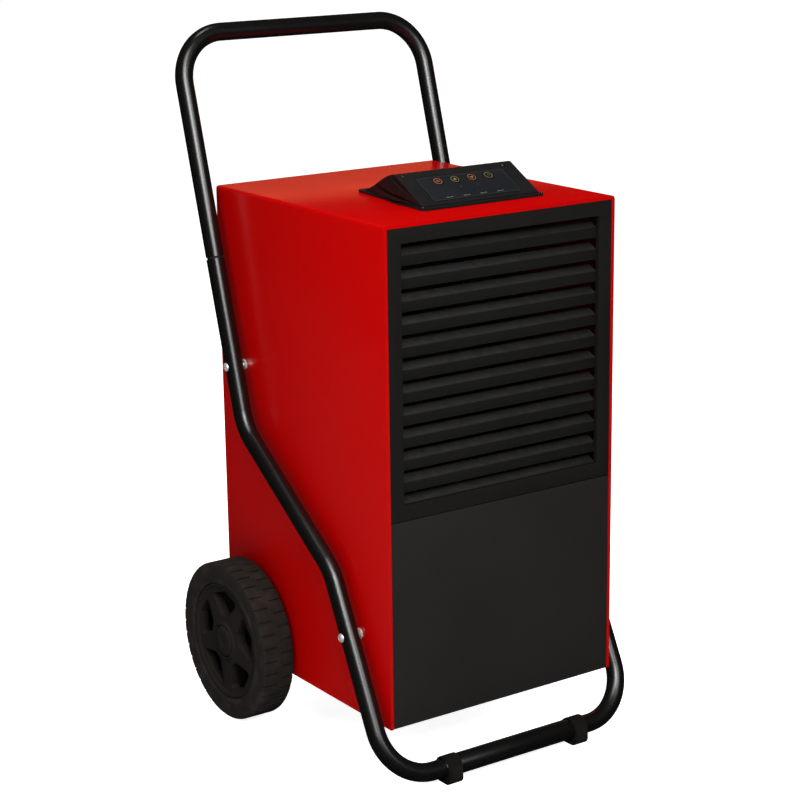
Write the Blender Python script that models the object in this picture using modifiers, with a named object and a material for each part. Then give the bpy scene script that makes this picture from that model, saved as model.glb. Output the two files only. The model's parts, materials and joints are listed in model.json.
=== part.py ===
"""Refrigerant dehumidifier for site and trade use, on a tubular wheeled cart.

Every separate piece is its own object, in metres, +Z up. Dimensions along Y are from the
middle of the cabinet, and the finished model is then moved so that the origin is on the
floor under the middle of its whole footprint. The louvred front faces -Y, and +X is to the
right of a person who faces it. Air goes in through the filter at the back, through the cold and the warm
coil, and the fan blows it out of the louvres. Water drips into a tank behind the cabinet's
lower part, which slides out to the rear above the axle.
"""

import math

import bmesh
import bpy
from mathutils import Matrix, Vector

MM = 0.001

# Cabinet: a folded sheet-metal shell on a base pan.
CABINET_WIDTH = 372 * MM
CABINET_DEPTH = 412 * MM
CABINET_HEIGHT = 670 * MM
CABINET_FLOOR = 85 * MM
SHEET = 1.5 * MM
GAP = 0.3 * MM
EDGE_RETURN = 5 * MM
PANEL_RETURN = 7 * MM
PANEL_SPLIT = 368.5 * MM
HALF_WIDTH = CABINET_WIDTH / 2
FRONT = -CABINET_DEPTH / 2
BACK = CABINET_DEPTH / 2
CABINET_TOP = CABINET_FLOOR + CABINET_HEIGHT
INNER_HALF = HALF_WIDTH - SHEET - GAP
INNER_TOP = CABINET_TOP - SHEET - GAP

# Front louvres: strips in a recessed plane, each with a flap bent in and up from its top.
LOUVRE_HALF = 160 * MM
LOUVRE_BOTTOM = 389 * MM
LOUVRE_TOP = 730 * MM
LOUVRE_PITCH = 29.6 * MM
LOUVRE_COUNT = 11
LIP_HEIGHT = 13.4 * MM
FLAP_DEPTH = 15 * MM
FLAP_RISE = 6.5 * MM

# Cart: one inch tube, a thicker cross tube, nine inch wheels.
TUBE_RADIUS = 12.7 * MM
TUBE_WALL = 1.8 * MM
TUBE_X = 203 * MM
CROSS_RADIUS = 14.3 * MM
CROSS_HALF = 119.5 * MM
BEND_RADIUS = 70 * MM
FOOT_BEND_RADIUS = 70 * MM
HANDLE_TOP = (271.6 * MM, 958 * MM)
HANDLE_JOINT_Z = 657 * MM
UPPER_BEND = (118.7 * MM, 428 * MM)
LOWER_BEND = (-96.4 * MM, 280.3 * MM)
FOOT_BAR = (-226 * MM, 21.3 * MM)
FOOT_X = 107 * MM
FOOT_WIDTH = 22 * MM
FOOTPRINT_MIDDLE = 20.5 * MM
WHEEL_RADIUS = 114 * MM
WHEEL_WIDTH = 48 * MM
WHEEL_Y = 140.6 * MM
WHEEL_INNER_X = 189.5 * MM
AXLE_RADIUS = 10 * MM
BOLT_RADIUS = 3 * MM
BOLT_SPOTS = ((142.4 * MM, 512.6 * MM), (-136.5 * MM, 200.3 * MM))

# Control housing: a wedge on the cabinet's top, its sloped face towards the front.
HOUSING_X = 13 * MM
HOUSING_FRONT = -141 * MM
HOUSING_RIDGE = (-80 * MM, 793.5 * MM)
HOUSING_REAR = 31 * MM
HOUSING_LIP = 760 * MM
HOUSING_HALF = 95 * MM
HOUSING_REAR_HALF = 72 * MM
HOUSING_WALL = 2.5 * MM
SLOPE_RISE = HOUSING_RIDGE[1] - HOUSING_LIP
SLOPE_RUN = HOUSING_RIDGE[0] - HOUSING_FRONT
SLOPE = math.atan2(SLOPE_RISE, SLOPE_RUN)
BUTTON_RADIUS = 7.5 * MM
BUTTON_PITCH = 27.5 * MM
BUTTON_S = 45.5 * MM
BUTTON_NAMES = ("power", "humidity", "fan_speed", "timer")

# Upper chamber: filter, two coils, fan. Lower chamber: compressor and tank.
SHELF_Z = 372 * MM
SHELF_THICK = 2 * MM
FIN_LEFT = -150 * MM
FIN_RIGHT = 140 * MM
FIN_TOP = 735 * MM
COIL_DEPTH = 45 * MM
EVAPORATOR_Y = 157.5 * MM
CONDENSER_Y = 92.5 * MM
COIL_TUBE_RADIUS = 4.8 * MM
COIL_TOP_Z = 715 * MM
COIL_PITCH = 60 * MM
COIL_PASSES = 6
COIL_PORT_X = 168 * MM
RISER_X = 176 * MM
FAN_Z = 562 * MM
FAN_Y = -32 * MM
FAN_RADIUS = 130 * MM
SHROUD_RADIUS = 138 * MM
SHROUD_Y = -11 * MM
COMPRESSOR_X = 40 * MM
COMPRESSOR_Y = -95 * MM
ACCUMULATOR_X = 146 * MM
DRAIN = (-120 * MM, 125 * MM)
TANK_HALF = 148 * MM
TANK_FRONT = 14 * MM
TANK_BOTTOM = 134 * MM
TANK_TOP = 334 * MM
TANK_WALL = 3 * MM
FLOAT_PIVOT = (24 * MM, 304 * MM)
FLOAT_DROOP = math.radians(30)
FILTER_HALF = 149 * MM
FILTER_BOTTOM = 401 * MM
FILTER_TOP = 719 * MM
CORD_RADIUS = 3.3 * MM
CORD_Z = 108 * MM
CORD_POST_X = 95 * MM
CORD_EXIT_X = 150 * MM
PLUG_PLACE = (60 * MM, 212.6 * MM, 80 * MM)

# Colour, roughness and metallic value of each finish.
FINISHES = {
    "red_paint": ((0.42, 0.003, 0.003), 0.38, 0.0),
    "black_paint": ((0.012, 0.012, 0.011), 0.45, 0.0),
    "tube_paint": ((0.004, 0.004, 0.004), 0.22, 0.0),
    "galvanised": ((0.52, 0.54, 0.55), 0.42, 0.9),
    "bright_steel": ((0.70, 0.70, 0.70), 0.25, 1.0),
    "black_plastic": ((0.010, 0.010, 0.010), 0.50, 0.0),
    "overlay_film": ((0.016, 0.017, 0.019), 0.30, 0.0),
    "button_film": ((0.020, 0.020, 0.022), 0.35, 0.0),
    "circuit_board": ((0.02, 0.14, 0.05), 0.45, 0.0),
    "rubber": ((0.013, 0.012, 0.011), 0.75, 0.0),
    "aluminium": ((0.75, 0.76, 0.77), 0.40, 0.9),
    "copper": ((0.72, 0.32, 0.18), 0.30, 1.0),
    "tank_plastic": ((0.55, 0.58, 0.60), 0.35, 0.0),
    "filter_net": ((0.05, 0.05, 0.05), 0.80, 0.0),
    "white_plastic": ((0.75, 0.75, 0.72), 0.45, 0.0),
}


def clear_scene():
    for obj in list(bpy.data.objects):
        bpy.data.objects.remove(obj, do_unlink=True)


def new_collection(name):
    collection = bpy.data.collections.new(name)
    bpy.context.scene.collection.children.link(collection)
    return collection


clear_scene()
PARTS = new_collection("dehumidifier")
CUTTERS = new_collection("cutters")


# ---------------------------------------------------------------- modelling helpers

def link(name, mesh):
    obj = bpy.data.objects.new(name, mesh)
    PARTS.objects.link(obj)
    return obj


def finish(obj, kind):
    """Gives obj a material of its own in one of the finishes, and hands obj back."""
    colour, roughness, metallic = FINISHES[kind]
    material = bpy.data.materials.new(f"{obj.name}_{kind}")
    material.use_nodes = True
    shader = material.node_tree.nodes["Principled BSDF"]
    shader.inputs["Base Color"].default_value = (*colour, 1.0)
    shader.inputs["Roughness"].default_value = roughness
    shader.inputs["Metallic"].default_value = metallic
    obj.data.materials.clear()
    obj.data.materials.append(material)
    return obj


def smooth(obj):
    obj.data.shade_smooth()
    obj.data.set_sharp_from_angle(angle=math.radians(35))
    return obj


def bevel(obj, width, segments=2, angle=40):
    modifier = obj.modifiers.new("rounded_edges", "BEVEL")
    modifier.width = width
    modifier.segments = segments
    modifier.limit_method = "ANGLE"
    modifier.angle_limit = math.radians(angle)
    return obj


def boolean(target, tool, operation):
    """Adds a live Boolean and puts the tool with the cutters, out of the model."""
    modifier = target.modifiers.new(tool.name, "BOOLEAN")
    modifier.operation = operation
    modifier.solver = "EXACT"
    modifier.object = tool
    PARTS.objects.unlink(tool)
    CUTTERS.objects.link(tool)
    tool.hide_render = True
    tool.display_type = "WIRE"
    return target


def cut(target, *tools):
    for tool in tools:
        boolean(target, tool, "DIFFERENCE")
    return target


def fuse(target, *tools):
    for tool in tools:
        boolean(target, tool, "UNION")
    return target


def box(name, low, high):
    """A box between two opposite corners, its origin at its centre."""
    low, high = Vector(low), Vector(high)
    bm = bmesh.new()
    bmesh.ops.create_cube(bm, size=1.0)
    bmesh.ops.scale(bm, vec=high - low, verts=bm.verts)
    mesh = bpy.data.meshes.new(name)
    bm.to_mesh(mesh)
    bm.free()
    obj = link(name, mesh)
    obj.location = (low + high) / 2
    return obj


def boxes(name, spans):
    """Several separate boxes in one mesh, for cutting a row of slots."""
    bm = bmesh.new()
    for low, high in spans:
        low, high = Vector(low), Vector(high)
        made = bmesh.ops.create_cube(bm, size=1.0)["verts"]
        bmesh.ops.scale(bm, vec=high - low, verts=made)
        bmesh.ops.translate(bm, vec=(low + high) / 2, verts=made)
    mesh = bpy.data.meshes.new(name)
    bm.to_mesh(mesh)
    bm.free()
    return link(name, mesh)


def bar(name, radius, start, end, sides=24):
    """A round bar from start to end, its origin halfway."""
    start, end = Vector(start), Vector(end)
    bm = bmesh.new()
    bmesh.ops.create_cone(
        bm,
        cap_ends=True,
        segments=sides,
        radius1=radius,
        radius2=radius,
        depth=(end - start).length,
    )
    mesh = bpy.data.meshes.new(name)
    bm.to_mesh(mesh)
    bm.free()
    obj = smooth(link(name, mesh))
    obj.location = (start + end) / 2
    obj.rotation_mode = "QUATERNION"
    obj.rotation_quaternion = (end - start).to_track_quat("Z", "Y")
    return obj


def turned(name, profile, steps=32, ring=False):
    """A body turned about local Z from (radius, height) points down its outer side."""
    points = [(radius, 0.0, height) for radius, height in profile]
    edges = [(i, i + 1) for i in range(len(points) - 1)]
    if ring:
        edges.append((len(points) - 1, 0))
    mesh = bpy.data.meshes.new(name)
    mesh.from_pydata(points, edges, [])
    obj = link(name, mesh)
    screw = obj.modifiers.new("turn", "SCREW")
    screw.angle = math.tau
    screw.steps = steps
    screw.render_steps = steps
    screw.use_merge_vertices = True
    screw.merge_threshold = 0.01 * MM
    return obj


def as_mesh(curve_object, name):
    """Turns a curve object into a mesh object with welded caps, in the same place."""
    depsgraph = bpy.context.evaluated_depsgraph_get()
    mesh = bpy.data.meshes.new_from_object(curve_object.evaluated_get(depsgraph))
    mesh.name = name
    bm = bmesh.new()
    bm.from_mesh(mesh)
    bmesh.ops.remove_doubles(bm, verts=bm.verts, dist=0.001 * MM)
    bm.to_mesh(mesh)
    bm.free()
    place = curve_object.matrix_world.copy()
    bpy.data.objects.remove(curve_object, do_unlink=True)
    obj = link(name, mesh)
    obj.matrix_world = place
    return obj


def plate(name, outlines, low, high, plane="XY"):
    """A flat outline, with any further outlines as holes, between two levels of an axis."""
    curve = bpy.data.curves.new(name + "_outline", "CURVE")
    curve.dimensions = "2D"
    curve.fill_mode = "BOTH"
    curve.extrude = (high - low) / 2
    for outline in outlines:
        spline = curve.splines.new("POLY")
        spline.points.add(len(outline) - 1)
        for point, (u, v) in zip(spline.points, outline):
            point.co = (u, v, 0.0, 1.0)
        spline.use_cyclic_u = True
    flat = bpy.data.objects.new(name + "_outline", curve)
    PARTS.objects.link(flat)
    obj = as_mesh(flat, name)
    middle = (low + high) / 2
    if plane == "XY":
        obj.matrix_world = Matrix.Translation((0.0, 0.0, middle))
    elif plane == "YZ":
        turn = Matrix(((0, 0, 1), (1, 0, 0), (0, 1, 0))).to_4x4()
        obj.matrix_world = Matrix.Translation((middle, 0.0, 0.0)) @ turn
    else:
        turn = Matrix.Rotation(math.pi / 2, 4, "X")
        obj.matrix_world = Matrix.Translation((0.0, middle, 0.0)) @ turn
    return obj


def circle(radius, centre=(0.0, 0.0), count=24, start=0.0, sweep=math.tau):
    """Points round a circle, or along an arc when the sweep is less than a turn."""
    steps = count if sweep >= math.tau - 1e-6 else count - 1
    angles = [start + sweep * i / steps for i in range(count)]
    return [
        (centre[0] + radius * math.cos(a), centre[1] + radius * math.sin(a))
        for a in angles
    ]


def rounded_path(corners, radius, steps=6):
    """The line through the corners, each inner corner turned into an arc."""
    corners = [Vector(corner) for corner in corners]
    path = [corners[0]]
    for before, corner, after in zip(corners, corners[1:], corners[2:]):
        back = (before - corner).normalized()
        ahead = (after - corner).normalized()
        half = back.angle(ahead) / 2
        start = corner + back * (radius / math.tan(half))
        centre = corner + (back + ahead).normalized() * (radius / math.sin(half))
        spoke = start - centre
        for i in range(steps + 1):
            turn = (math.pi - 2 * half) * i / steps
            path.append(centre + spoke * math.cos(turn) - back * radius * math.sin(turn))
    path.append(corners[-1])
    return path


def rounded_outline(corners, radius, steps=4):
    """A closed flat outline with every corner rounded."""
    count = len(corners)
    outline = []
    for i in range(count):
        trio = [corners[i - 1], corners[i], corners[(i + 1) % count]]
        arc = rounded_path([(u, v, 0.0) for u, v in trio], radius, steps)[1:-1]
        outline += [(point.x, point.y) for point in arc]
    return outline


def pipe(name, path, radius, resolution=2, open_ends=False):
    """A round pipe along a path of points, closed at its ends unless they are left open."""
    curve = bpy.data.curves.new(name + "_path", "CURVE")
    curve.dimensions = "3D"
    curve.bevel_depth = radius
    curve.bevel_resolution = resolution
    curve.use_fill_caps = not open_ends
    spline = curve.splines.new("POLY")
    spline.points.add(len(path) - 1)
    for point, place in zip(spline.points, path):
        point.co = (*place, 1.0)
    line = bpy.data.objects.new(name + "_path", curve)
    PARTS.objects.link(line)
    return smooth(as_mesh(line, name))


def hollow_tube(name, path, radius, wall):
    """A bent tube with its ends open."""
    obj = pipe(name, path, radius, resolution=4, open_ends=True)
    solidify = obj.modifiers.new("wall", "SOLIDIFY")
    solidify.thickness = wall
    solidify.offset = -1.0
    solidify.use_even_offset = True
    return obj


def joint_empty(name, place):
    empty = bpy.data.objects.new(name, None)
    empty.location = place
    empty.empty_display_size = 0.03
    PARTS.objects.link(empty)
    return empty


def hang(empty, *objects):
    """Parents objects to a joint's empty and leaves them where they are."""
    bpy.context.view_layer.update()
    for obj in objects:
        obj.parent = empty
        obj.matrix_parent_inverse = empty.matrix_world.inverted()


# ---------------------------------------------------------------- cabinet

def cabinet_cover():
    """Left side, top and right side in one folded sheet, with returns round the front."""
    outer = box(
        "cabinet_cover",
        (-HALF_WIDTH, FRONT, CABINET_FLOOR),
        (HALF_WIDTH, BACK, CABINET_TOP),
    )
    weight = outer.data.attributes.new("bevel_weight_edge", "FLOAT", "EDGE")
    for edge in outer.data.edges:
        ends = [outer.data.vertices[i].co for i in edge.vertices]
        on_top = all(end.z > 0 for end in ends)
        lengthwise = abs(ends[0].y - ends[1].y) > SHEET
        weight.data[edge.index].value = 1.0 if on_top and lengthwise else 0.0
    fold = outer.modifiers.new("folds", "BEVEL")
    fold.width = 5 * MM
    fold.segments = 3
    fold.limit_method = "WEIGHT"
    room = box(
        "cover_room",
        (-HALF_WIDTH + SHEET, FRONT + SHEET, CABINET_FLOOR - 10 * MM),
        (HALF_WIDTH - SHEET, BACK + 10 * MM, CABINET_TOP - SHEET),
    )
    mouth = box(
        "cover_mouth",
        (-HALF_WIDTH + EDGE_RETURN, FRONT - 10 * MM, CABINET_FLOOR - 10 * MM),
        (HALF_WIDTH - EDGE_RETURN, FRONT + 10 * MM, CABINET_TOP - EDGE_RETURN),
    )
    cable_way = box(
        "cover_cable_way",
        (HOUSING_X - 30 * MM, -95 * MM, CABINET_TOP - 10 * MM),
        (HOUSING_X + 30 * MM, -60 * MM, CABINET_TOP + 10 * MM),
    )
    cut(outer, room, mouth, cable_way)
    reach = HALF_WIDTH + 20 * MM
    for i, (y, z) in enumerate(BOLT_SPOTS):
        for side in (-1, 1):
            inner, outside = side * (HALF_WIDTH - 9 * MM), side * (HALF_WIDTH - 0.5 * MM)
            name = f"cover_insert_{i}_{(side + 1) // 2}"
            fuse(outer, bar(name, 6 * MM, (inner, y, z), (outside, y, z), 12))
        hole = BOLT_RADIUS + 0.5 * MM
        cut(outer, bar(f"cover_bolt_hole_{i}", hole, (-reach, y, z), (reach, y, z), 12))
    for i, (place, _) in enumerate(screw_seats()):
        above, below = place + Vector((0, 0, 9 * MM)), place - Vector((0, 0, 9 * MM))
        if place.z < HOUSING_LIP:
            cut(outer, bar(f"cover_screw_hole_{i}", 1.9 * MM, above, below, 12))
    axle_hole = bar(
        "cover_axle_hole",
        AXLE_RADIUS + 0.8 * MM,
        (-reach, WHEEL_Y, WHEEL_RADIUS),
        (reach, WHEEL_Y, WHEEL_RADIUS),
    )
    cut(outer, axle_hole)
    return finish(outer, "red_paint")


def base_pan():
    """The floor of the cabinet, with deep side flanges that carry the axle."""
    front_edge = FRONT + PANEL_RETURN + 2 * MM
    rear_edge = BACK - 2.5 * MM
    flange_top = 150 * MM
    thick = 2 * MM
    pan = box(
        "base_pan",
        (-INNER_HALF, front_edge, CABINET_FLOOR),
        (INNER_HALF, rear_edge, flange_top),
    )
    room = box(
        "pan_room",
        (-INNER_HALF + thick, front_edge + thick, CABINET_FLOOR + thick),
        (INNER_HALF - thick, rear_edge - thick, flange_top + 10 * MM),
    )
    low_ends = box(
        "pan_low_ends",
        (-INNER_HALF + thick, front_edge - 10 * MM, CABINET_FLOOR + 15 * MM),
        (INNER_HALF - thick, rear_edge + 10 * MM, flange_top + 10 * MM),
    )
    axle_hole = bar(
        "pan_axle_hole",
        AXLE_RADIUS + 0.5 * MM,
        (-HALF_WIDTH, WHEEL_Y, WHEEL_RADIUS),
        (HALF_WIDTH, WHEEL_Y, WHEEL_RADIUS),
    )
    return finish(cut(pan, room, low_ends, axle_hole), "galvanised")


def front_pan(name, bottom, top):
    """A flat front panel with its four edges returned inwards, as an open pan."""
    half = HALF_WIDTH - EDGE_RETURN - 0.5 * MM
    panel = box(name, (-half, FRONT, bottom), (half, FRONT + PANEL_RETURN, top))
    bevel(panel, 0.8 * MM, 1)
    room = box(
        name + "_room",
        (-half + SHEET, FRONT + SHEET, bottom + SHEET),
        (half - SHEET, FRONT + 2 * PANEL_RETURN, top - SHEET),
    )
    return cut(panel, room)


def lower_front_panel():
    bottom = CABINET_FLOOR + 0.5 * MM
    panel = front_pan("lower_front_panel", bottom, PANEL_SPLIT - 0.5 * MM)
    return finish(panel, "black_paint")


def louvre_slat(index, lip_bottom, lip_height):
    """A strip of sheet with a flap that slopes in and up from its top edge."""
    face = FRONT + PANEL_RETURN
    top = lip_bottom + lip_height
    outline = [
        (face, lip_bottom),
        (face, top),
        (face + FLAP_DEPTH, top + FLAP_RISE),
        (face + FLAP_DEPTH + 0.5 * MM, top + FLAP_RISE - SHEET),
        (face + SHEET, top - SHEET),
        (face + SHEET, lip_bottom),
    ]
    reach = LOUVRE_HALF + SHEET / 2
    return plate(f"louvre_slat_{index}", [outline], -reach, reach, "YZ")


def louvre_panel():
    """The upper front panel: a frame, the return round its opening, and the slats."""
    panel = front_pan(
        "louvre_panel", PANEL_SPLIT + 0.5 * MM, CABINET_TOP - EDGE_RETURN - 0.5 * MM
    )
    rim = box(
        "louvre_rim",
        (-LOUVRE_HALF - SHEET, FRONT + 0.5 * MM, LOUVRE_BOTTOM - SHEET),
        (LOUVRE_HALF + SHEET, FRONT + PANEL_RETURN + SHEET, LOUVRE_TOP + SHEET),
    )
    opening = box(
        "louvre_opening",
        (-LOUVRE_HALF, FRONT - 5 * MM, LOUVRE_BOTTOM),
        (LOUVRE_HALF, FRONT + 3 * PANEL_RETURN, LOUVRE_TOP),
    )
    fuse(panel, rim)
    cut(panel, opening)
    for i in range(LOUVRE_COUNT):
        lip_top = LOUVRE_TOP - 16.5 * MM - i * LOUVRE_PITCH
        fuse(panel, louvre_slat(i, lip_top - LIP_HEIGHT, LIP_HEIGHT))
    fuse(panel, louvre_slat(LOUVRE_COUNT, LOUVRE_BOTTOM - SHEET, SHEET * 1.2))
    return finish(panel, "black_paint")


def rear_panel():
    """The back sheet, with openings for the filter and the tank and a hole for the cord."""
    low_y = BACK - SHEET - GAP
    panel = box(
        "rear_panel",
        (-INNER_HALF, low_y, CABINET_FLOOR + 0.5 * MM),
        (INNER_HALF, BACK - GAP, INNER_TOP),
    )
    filter_opening = box(
        "rear_filter_opening",
        (-FILTER_HALF - 1 * MM, low_y - 5 * MM, FILTER_BOTTOM - 1 * MM),
        (FILTER_HALF + 1 * MM, BACK + 5 * MM, FILTER_TOP + 1 * MM),
    )
    tank_opening = box(
        "rear_tank_opening",
        (-TANK_HALF - 3 * MM, low_y - 5 * MM, TANK_BOTTOM - 3 * MM),
        (TANK_HALF + 3 * MM, BACK + 5 * MM, TANK_TOP + 3 * MM),
    )
    cord_hole = bar(
        "rear_cord_hole",
        7 * MM,
        (CORD_EXIT_X, low_y - 5 * MM, CORD_Z),
        (CORD_EXIT_X, BACK + 5 * MM, CORD_Z),
        16,
    )
    return finish(cut(panel, filter_opening, tank_opening, cord_hole), "black_paint")


def divider_shelf():
    """The sheet between the two chambers, with a way for the pipes and one for the drain."""
    shelf = box(
        "divider_shelf",
        (-INNER_HALF, FRONT + PANEL_RETURN + 2 * MM, SHELF_Z),
        (INNER_HALF, BACK - 2.5 * MM, SHELF_Z + SHELF_THICK),
    )
    pipe_way = box(
        "shelf_pipe_way",
        (COIL_PORT_X - 1 * MM, 55 * MM, SHELF_Z - 5 * MM),
        (INNER_HALF - 1 * MM, 195 * MM, SHELF_Z + 10 * MM),
    )
    drain_way = bar(
        "shelf_drain_way",
        9 * MM,
        (*DRAIN, SHELF_Z - 5 * MM),
        (*DRAIN, SHELF_Z + 10 * MM),
        16,
    )
    return finish(cut(shelf, pipe_way, drain_way), "galvanised")


# ---------------------------------------------------------------- controls

def on_slope(x, s, n=0.0):
    """A point of the sloped face: across, up the slope from its foot, and out of it."""
    y = HOUSING_FRONT + s * math.cos(SLOPE) - n * math.sin(SLOPE)
    z = HOUSING_LIP + s * math.sin(SLOPE) + n * math.cos(SLOPE)
    return Vector((HOUSING_X + x, y, z))


def slope_box(name, half_width, s_low, s_high, n_low, n_high):
    obj = box(
        name,
        (-half_width, -(s_high - s_low) / 2, -(n_high - n_low) / 2),
        (half_width, (s_high - s_low) / 2, (n_high - n_low) / 2),
    )
    obj.location = on_slope(0.0, (s_low + s_high) / 2, (n_low + n_high) / 2)
    obj.rotation_euler = (SLOPE, 0.0, 0.0)
    return obj


def button_x(index):
    return (index - 1.5) * BUTTON_PITCH


def button_holes(name):
    return [
        bar(
            f"{name}_hole_{i}",
            BUTTON_RADIUS + 0.5 * MM,
            on_slope(button_x(i), BUTTON_S, -8 * MM),
            on_slope(button_x(i), BUTTON_S, 8 * MM),
            16,
        )
        for i in range(len(BUTTON_NAMES))
    ]


def wedge(name, inset, bottom):
    """The housing's body: a sloped front, a ridge, and an eased slope down to the rear."""
    drop = inset / math.cos(SLOPE)
    ridge_y, ridge_z = HOUSING_RIDGE
    outline = [
        (HOUSING_FRONT + inset, bottom),
        (HOUSING_FRONT + inset, HOUSING_LIP + inset * math.tan(SLOPE) - drop),
        (ridge_y, ridge_z - drop),
    ]
    foot_z = 757 * MM - inset
    crest = ridge_y + 4 * MM
    steps = 6
    for i in range(steps + 1):
        t = i / steps
        eased = (1 + math.cos(math.pi * t)) / 2
        height = (eased + 1 - t) / 2
        y = crest + (HOUSING_REAR - inset - crest) * t
        outline.append((y, foot_z + (ridge_z - drop - foot_z) * height))
    outline.append((HOUSING_REAR - inset, bottom))
    obj = plate(name, [outline], -1.0, 1.0, "YZ")
    bm = bmesh.new()
    bm.from_mesh(obj.data)
    bmesh.ops.transform(bm, matrix=obj.matrix_world, verts=bm.verts)
    everything = bm.verts[:] + bm.edges[:] + bm.faces[:]
    bmesh.ops.bisect_plane(
        bm, geom=everything, plane_co=(0, ridge_y, 0), plane_no=(0, 1, 0), dist=0.001 * MM
    )
    for vertex in bm.verts:
        along = max(0.0, (vertex.co.y - ridge_y) / (HOUSING_REAR - ridge_y))
        half = HOUSING_HALF + (HOUSING_REAR_HALF - HOUSING_HALF) * along - inset
        vertex.co.x = HOUSING_X + math.copysign(half, vertex.co.x)
    bmesh.ops.dissolve_limit(
        bm, angle_limit=math.radians(1), verts=bm.verts, edges=bm.edges
    )
    bm.to_mesh(obj.data)
    bm.free()
    obj.matrix_world = Matrix.Identity(4)
    return obj


def control_housing():
    """The moulded housing: a wedge with a flange round its foot, hollow from below."""
    foot = CABINET_TOP + GAP
    housing = bevel(wedge("control_housing", 0.0, foot), 1.5 * MM, 2, 25)
    corners = [
        (HOUSING_X - HOUSING_HALF - 6 * MM, HOUSING_FRONT - 9 * MM),
        (HOUSING_X + HOUSING_HALF + 6 * MM, HOUSING_FRONT - 9 * MM),
        (HOUSING_X + HOUSING_REAR_HALF + 5 * MM, HOUSING_REAR + 5 * MM),
        (HOUSING_X - HOUSING_REAR_HALF - 5 * MM, HOUSING_REAR + 5 * MM),
    ]
    flange = plate(
        "housing_flange", [rounded_outline(corners, 7 * MM, 3)], foot, foot + 3 * MM
    )
    fuse(housing, bevel(flange, 1 * MM, 1, 60))
    cut(housing, wedge("housing_room", HOUSING_WALL, foot - 8 * MM))
    cut(housing, slope_box("overlay_seat", 72 * MM, 5.5 * MM, 57.5 * MM, -1 * MM, 6 * MM))
    cut(housing, *button_holes("housing"))
    for i, (place, tilt) in enumerate(screw_seats()):
        way = Matrix.Rotation(tilt, 3, "X") @ Vector((0, 0, 7 * MM))
        cut(housing, bar(f"housing_screw_hole_{i}", 1.9 * MM, place - way, place + way, 12))
    return finish(housing, "black_plastic")


def screw_seats():
    """Where the four screws sit and how they tilt: two up the slope, two on the flange."""
    flange_top = CABINET_TOP + GAP + 3 * MM
    corner_y = HOUSING_FRONT - 4.5 * MM
    corner_x = HOUSING_HALF + 1.5 * MM
    return (
        (on_slope(-86 * MM, 63 * MM), SLOPE),
        (on_slope(77 * MM, 62 * MM), SLOPE),
        (Vector((HOUSING_X - corner_x, corner_y, flange_top)), 0.0),
        (Vector((HOUSING_X + corner_x, corner_y, flange_top)), 0.0),
    )


def control_overlay():
    overlay = slope_box("control_overlay", 71.5 * MM, 6 * MM, 57 * MM, -0.7 * MM, 0.3 * MM)
    cut(overlay, *button_holes("overlay"))
    return finish(overlay, "overlay_film")


def control_buttons():
    """Four press keys, each a cap with a collar that keeps it under the housing's wall."""
    profile = [
        (0.0, 1.1 * MM),
        (6.3 * MM, 1.1 * MM),
        (BUTTON_RADIUS, 0.3 * MM),
        (BUTTON_RADIUS, -3.2 * MM),
        (9.2 * MM, -3.2 * MM),
        (9.2 * MM, -4.6 * MM),
        (0.0, -4.6 * MM),
    ]
    for i, name in enumerate(BUTTON_NAMES):
        button = turned(f"button_{name}", profile, 16)
        button.location = on_slope(button_x(i), BUTTON_S)
        button.rotation_euler = (SLOPE, 0.0, 0.0)
        finish(button, "button_film")


def control_board():
    board = slope_box("control_board", 66 * MM, 20 * MM, 58 * MM, -11.6 * MM, -10 * MM)
    return finish(board, "circuit_board")


def panel_screws():
    """Pan-head screws, two high on the sloped face and two on the flange's corners."""
    profile = [
        (0.0, 2.2 * MM),
        (2 * MM, 1.8 * MM),
        (2.8 * MM, 0.3 * MM),
        (1.5 * MM, 0.3 * MM),
        (1.5 * MM, -5.5 * MM),
        (0.0, -5.5 * MM),
    ]
    for i, (place, tilt) in enumerate(screw_seats()):
        screw = turned(f"panel_screw_{i + 1}", profile, 12)
        screw.location = place
        screw.rotation_euler = (tilt, 0.0, 0.0)
        finish(screw, "bright_steel")


# ---------------------------------------------------------------- refrigeration

def coil_heights():
    return [COIL_TOP_Z - i * COIL_PITCH for i in range(COIL_PASSES)]


def coil_fins(name, y):
    """A coil's fin pack, with a hole for each pass of its tube."""
    half = COIL_DEPTH / 2
    fins = box(
        name,
        (FIN_LEFT, y - half, SHELF_Z + 4.6 * MM),
        (FIN_RIGHT, y + half, FIN_TOP),
    )
    for i, z in enumerate(coil_heights()):
        left = (FIN_LEFT - 10 * MM, y, z)
        right = (FIN_RIGHT + 10 * MM, y, z)
        cut(fins, bar(f"{name}_hole_{i}", COIL_TUBE_RADIUS + 0.7 * MM, left, right, 10))
    return finish(fins, "aluminium")


def coil_tube(name, y):
    """One copper tube back and forth through the fins, with both ends at the right."""
    left = FIN_LEFT - 10 * MM
    right = FIN_RIGHT + 12 * MM
    corners = [(COIL_PORT_X, y, COIL_TOP_Z)]
    for i, z in enumerate(coil_heights()):
        ends = (left, right) if i % 2 else (right, left)
        if i:
            corners.append((ends[0], y, z))
        if i < COIL_PASSES - 1:
            corners.append((ends[1], y, z))
    corners.append((COIL_PORT_X, y, coil_heights()[-1]))
    return finish(pipe(name, rounded_path(corners, 9 * MM, 2), COIL_TUBE_RADIUS), "copper")


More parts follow.
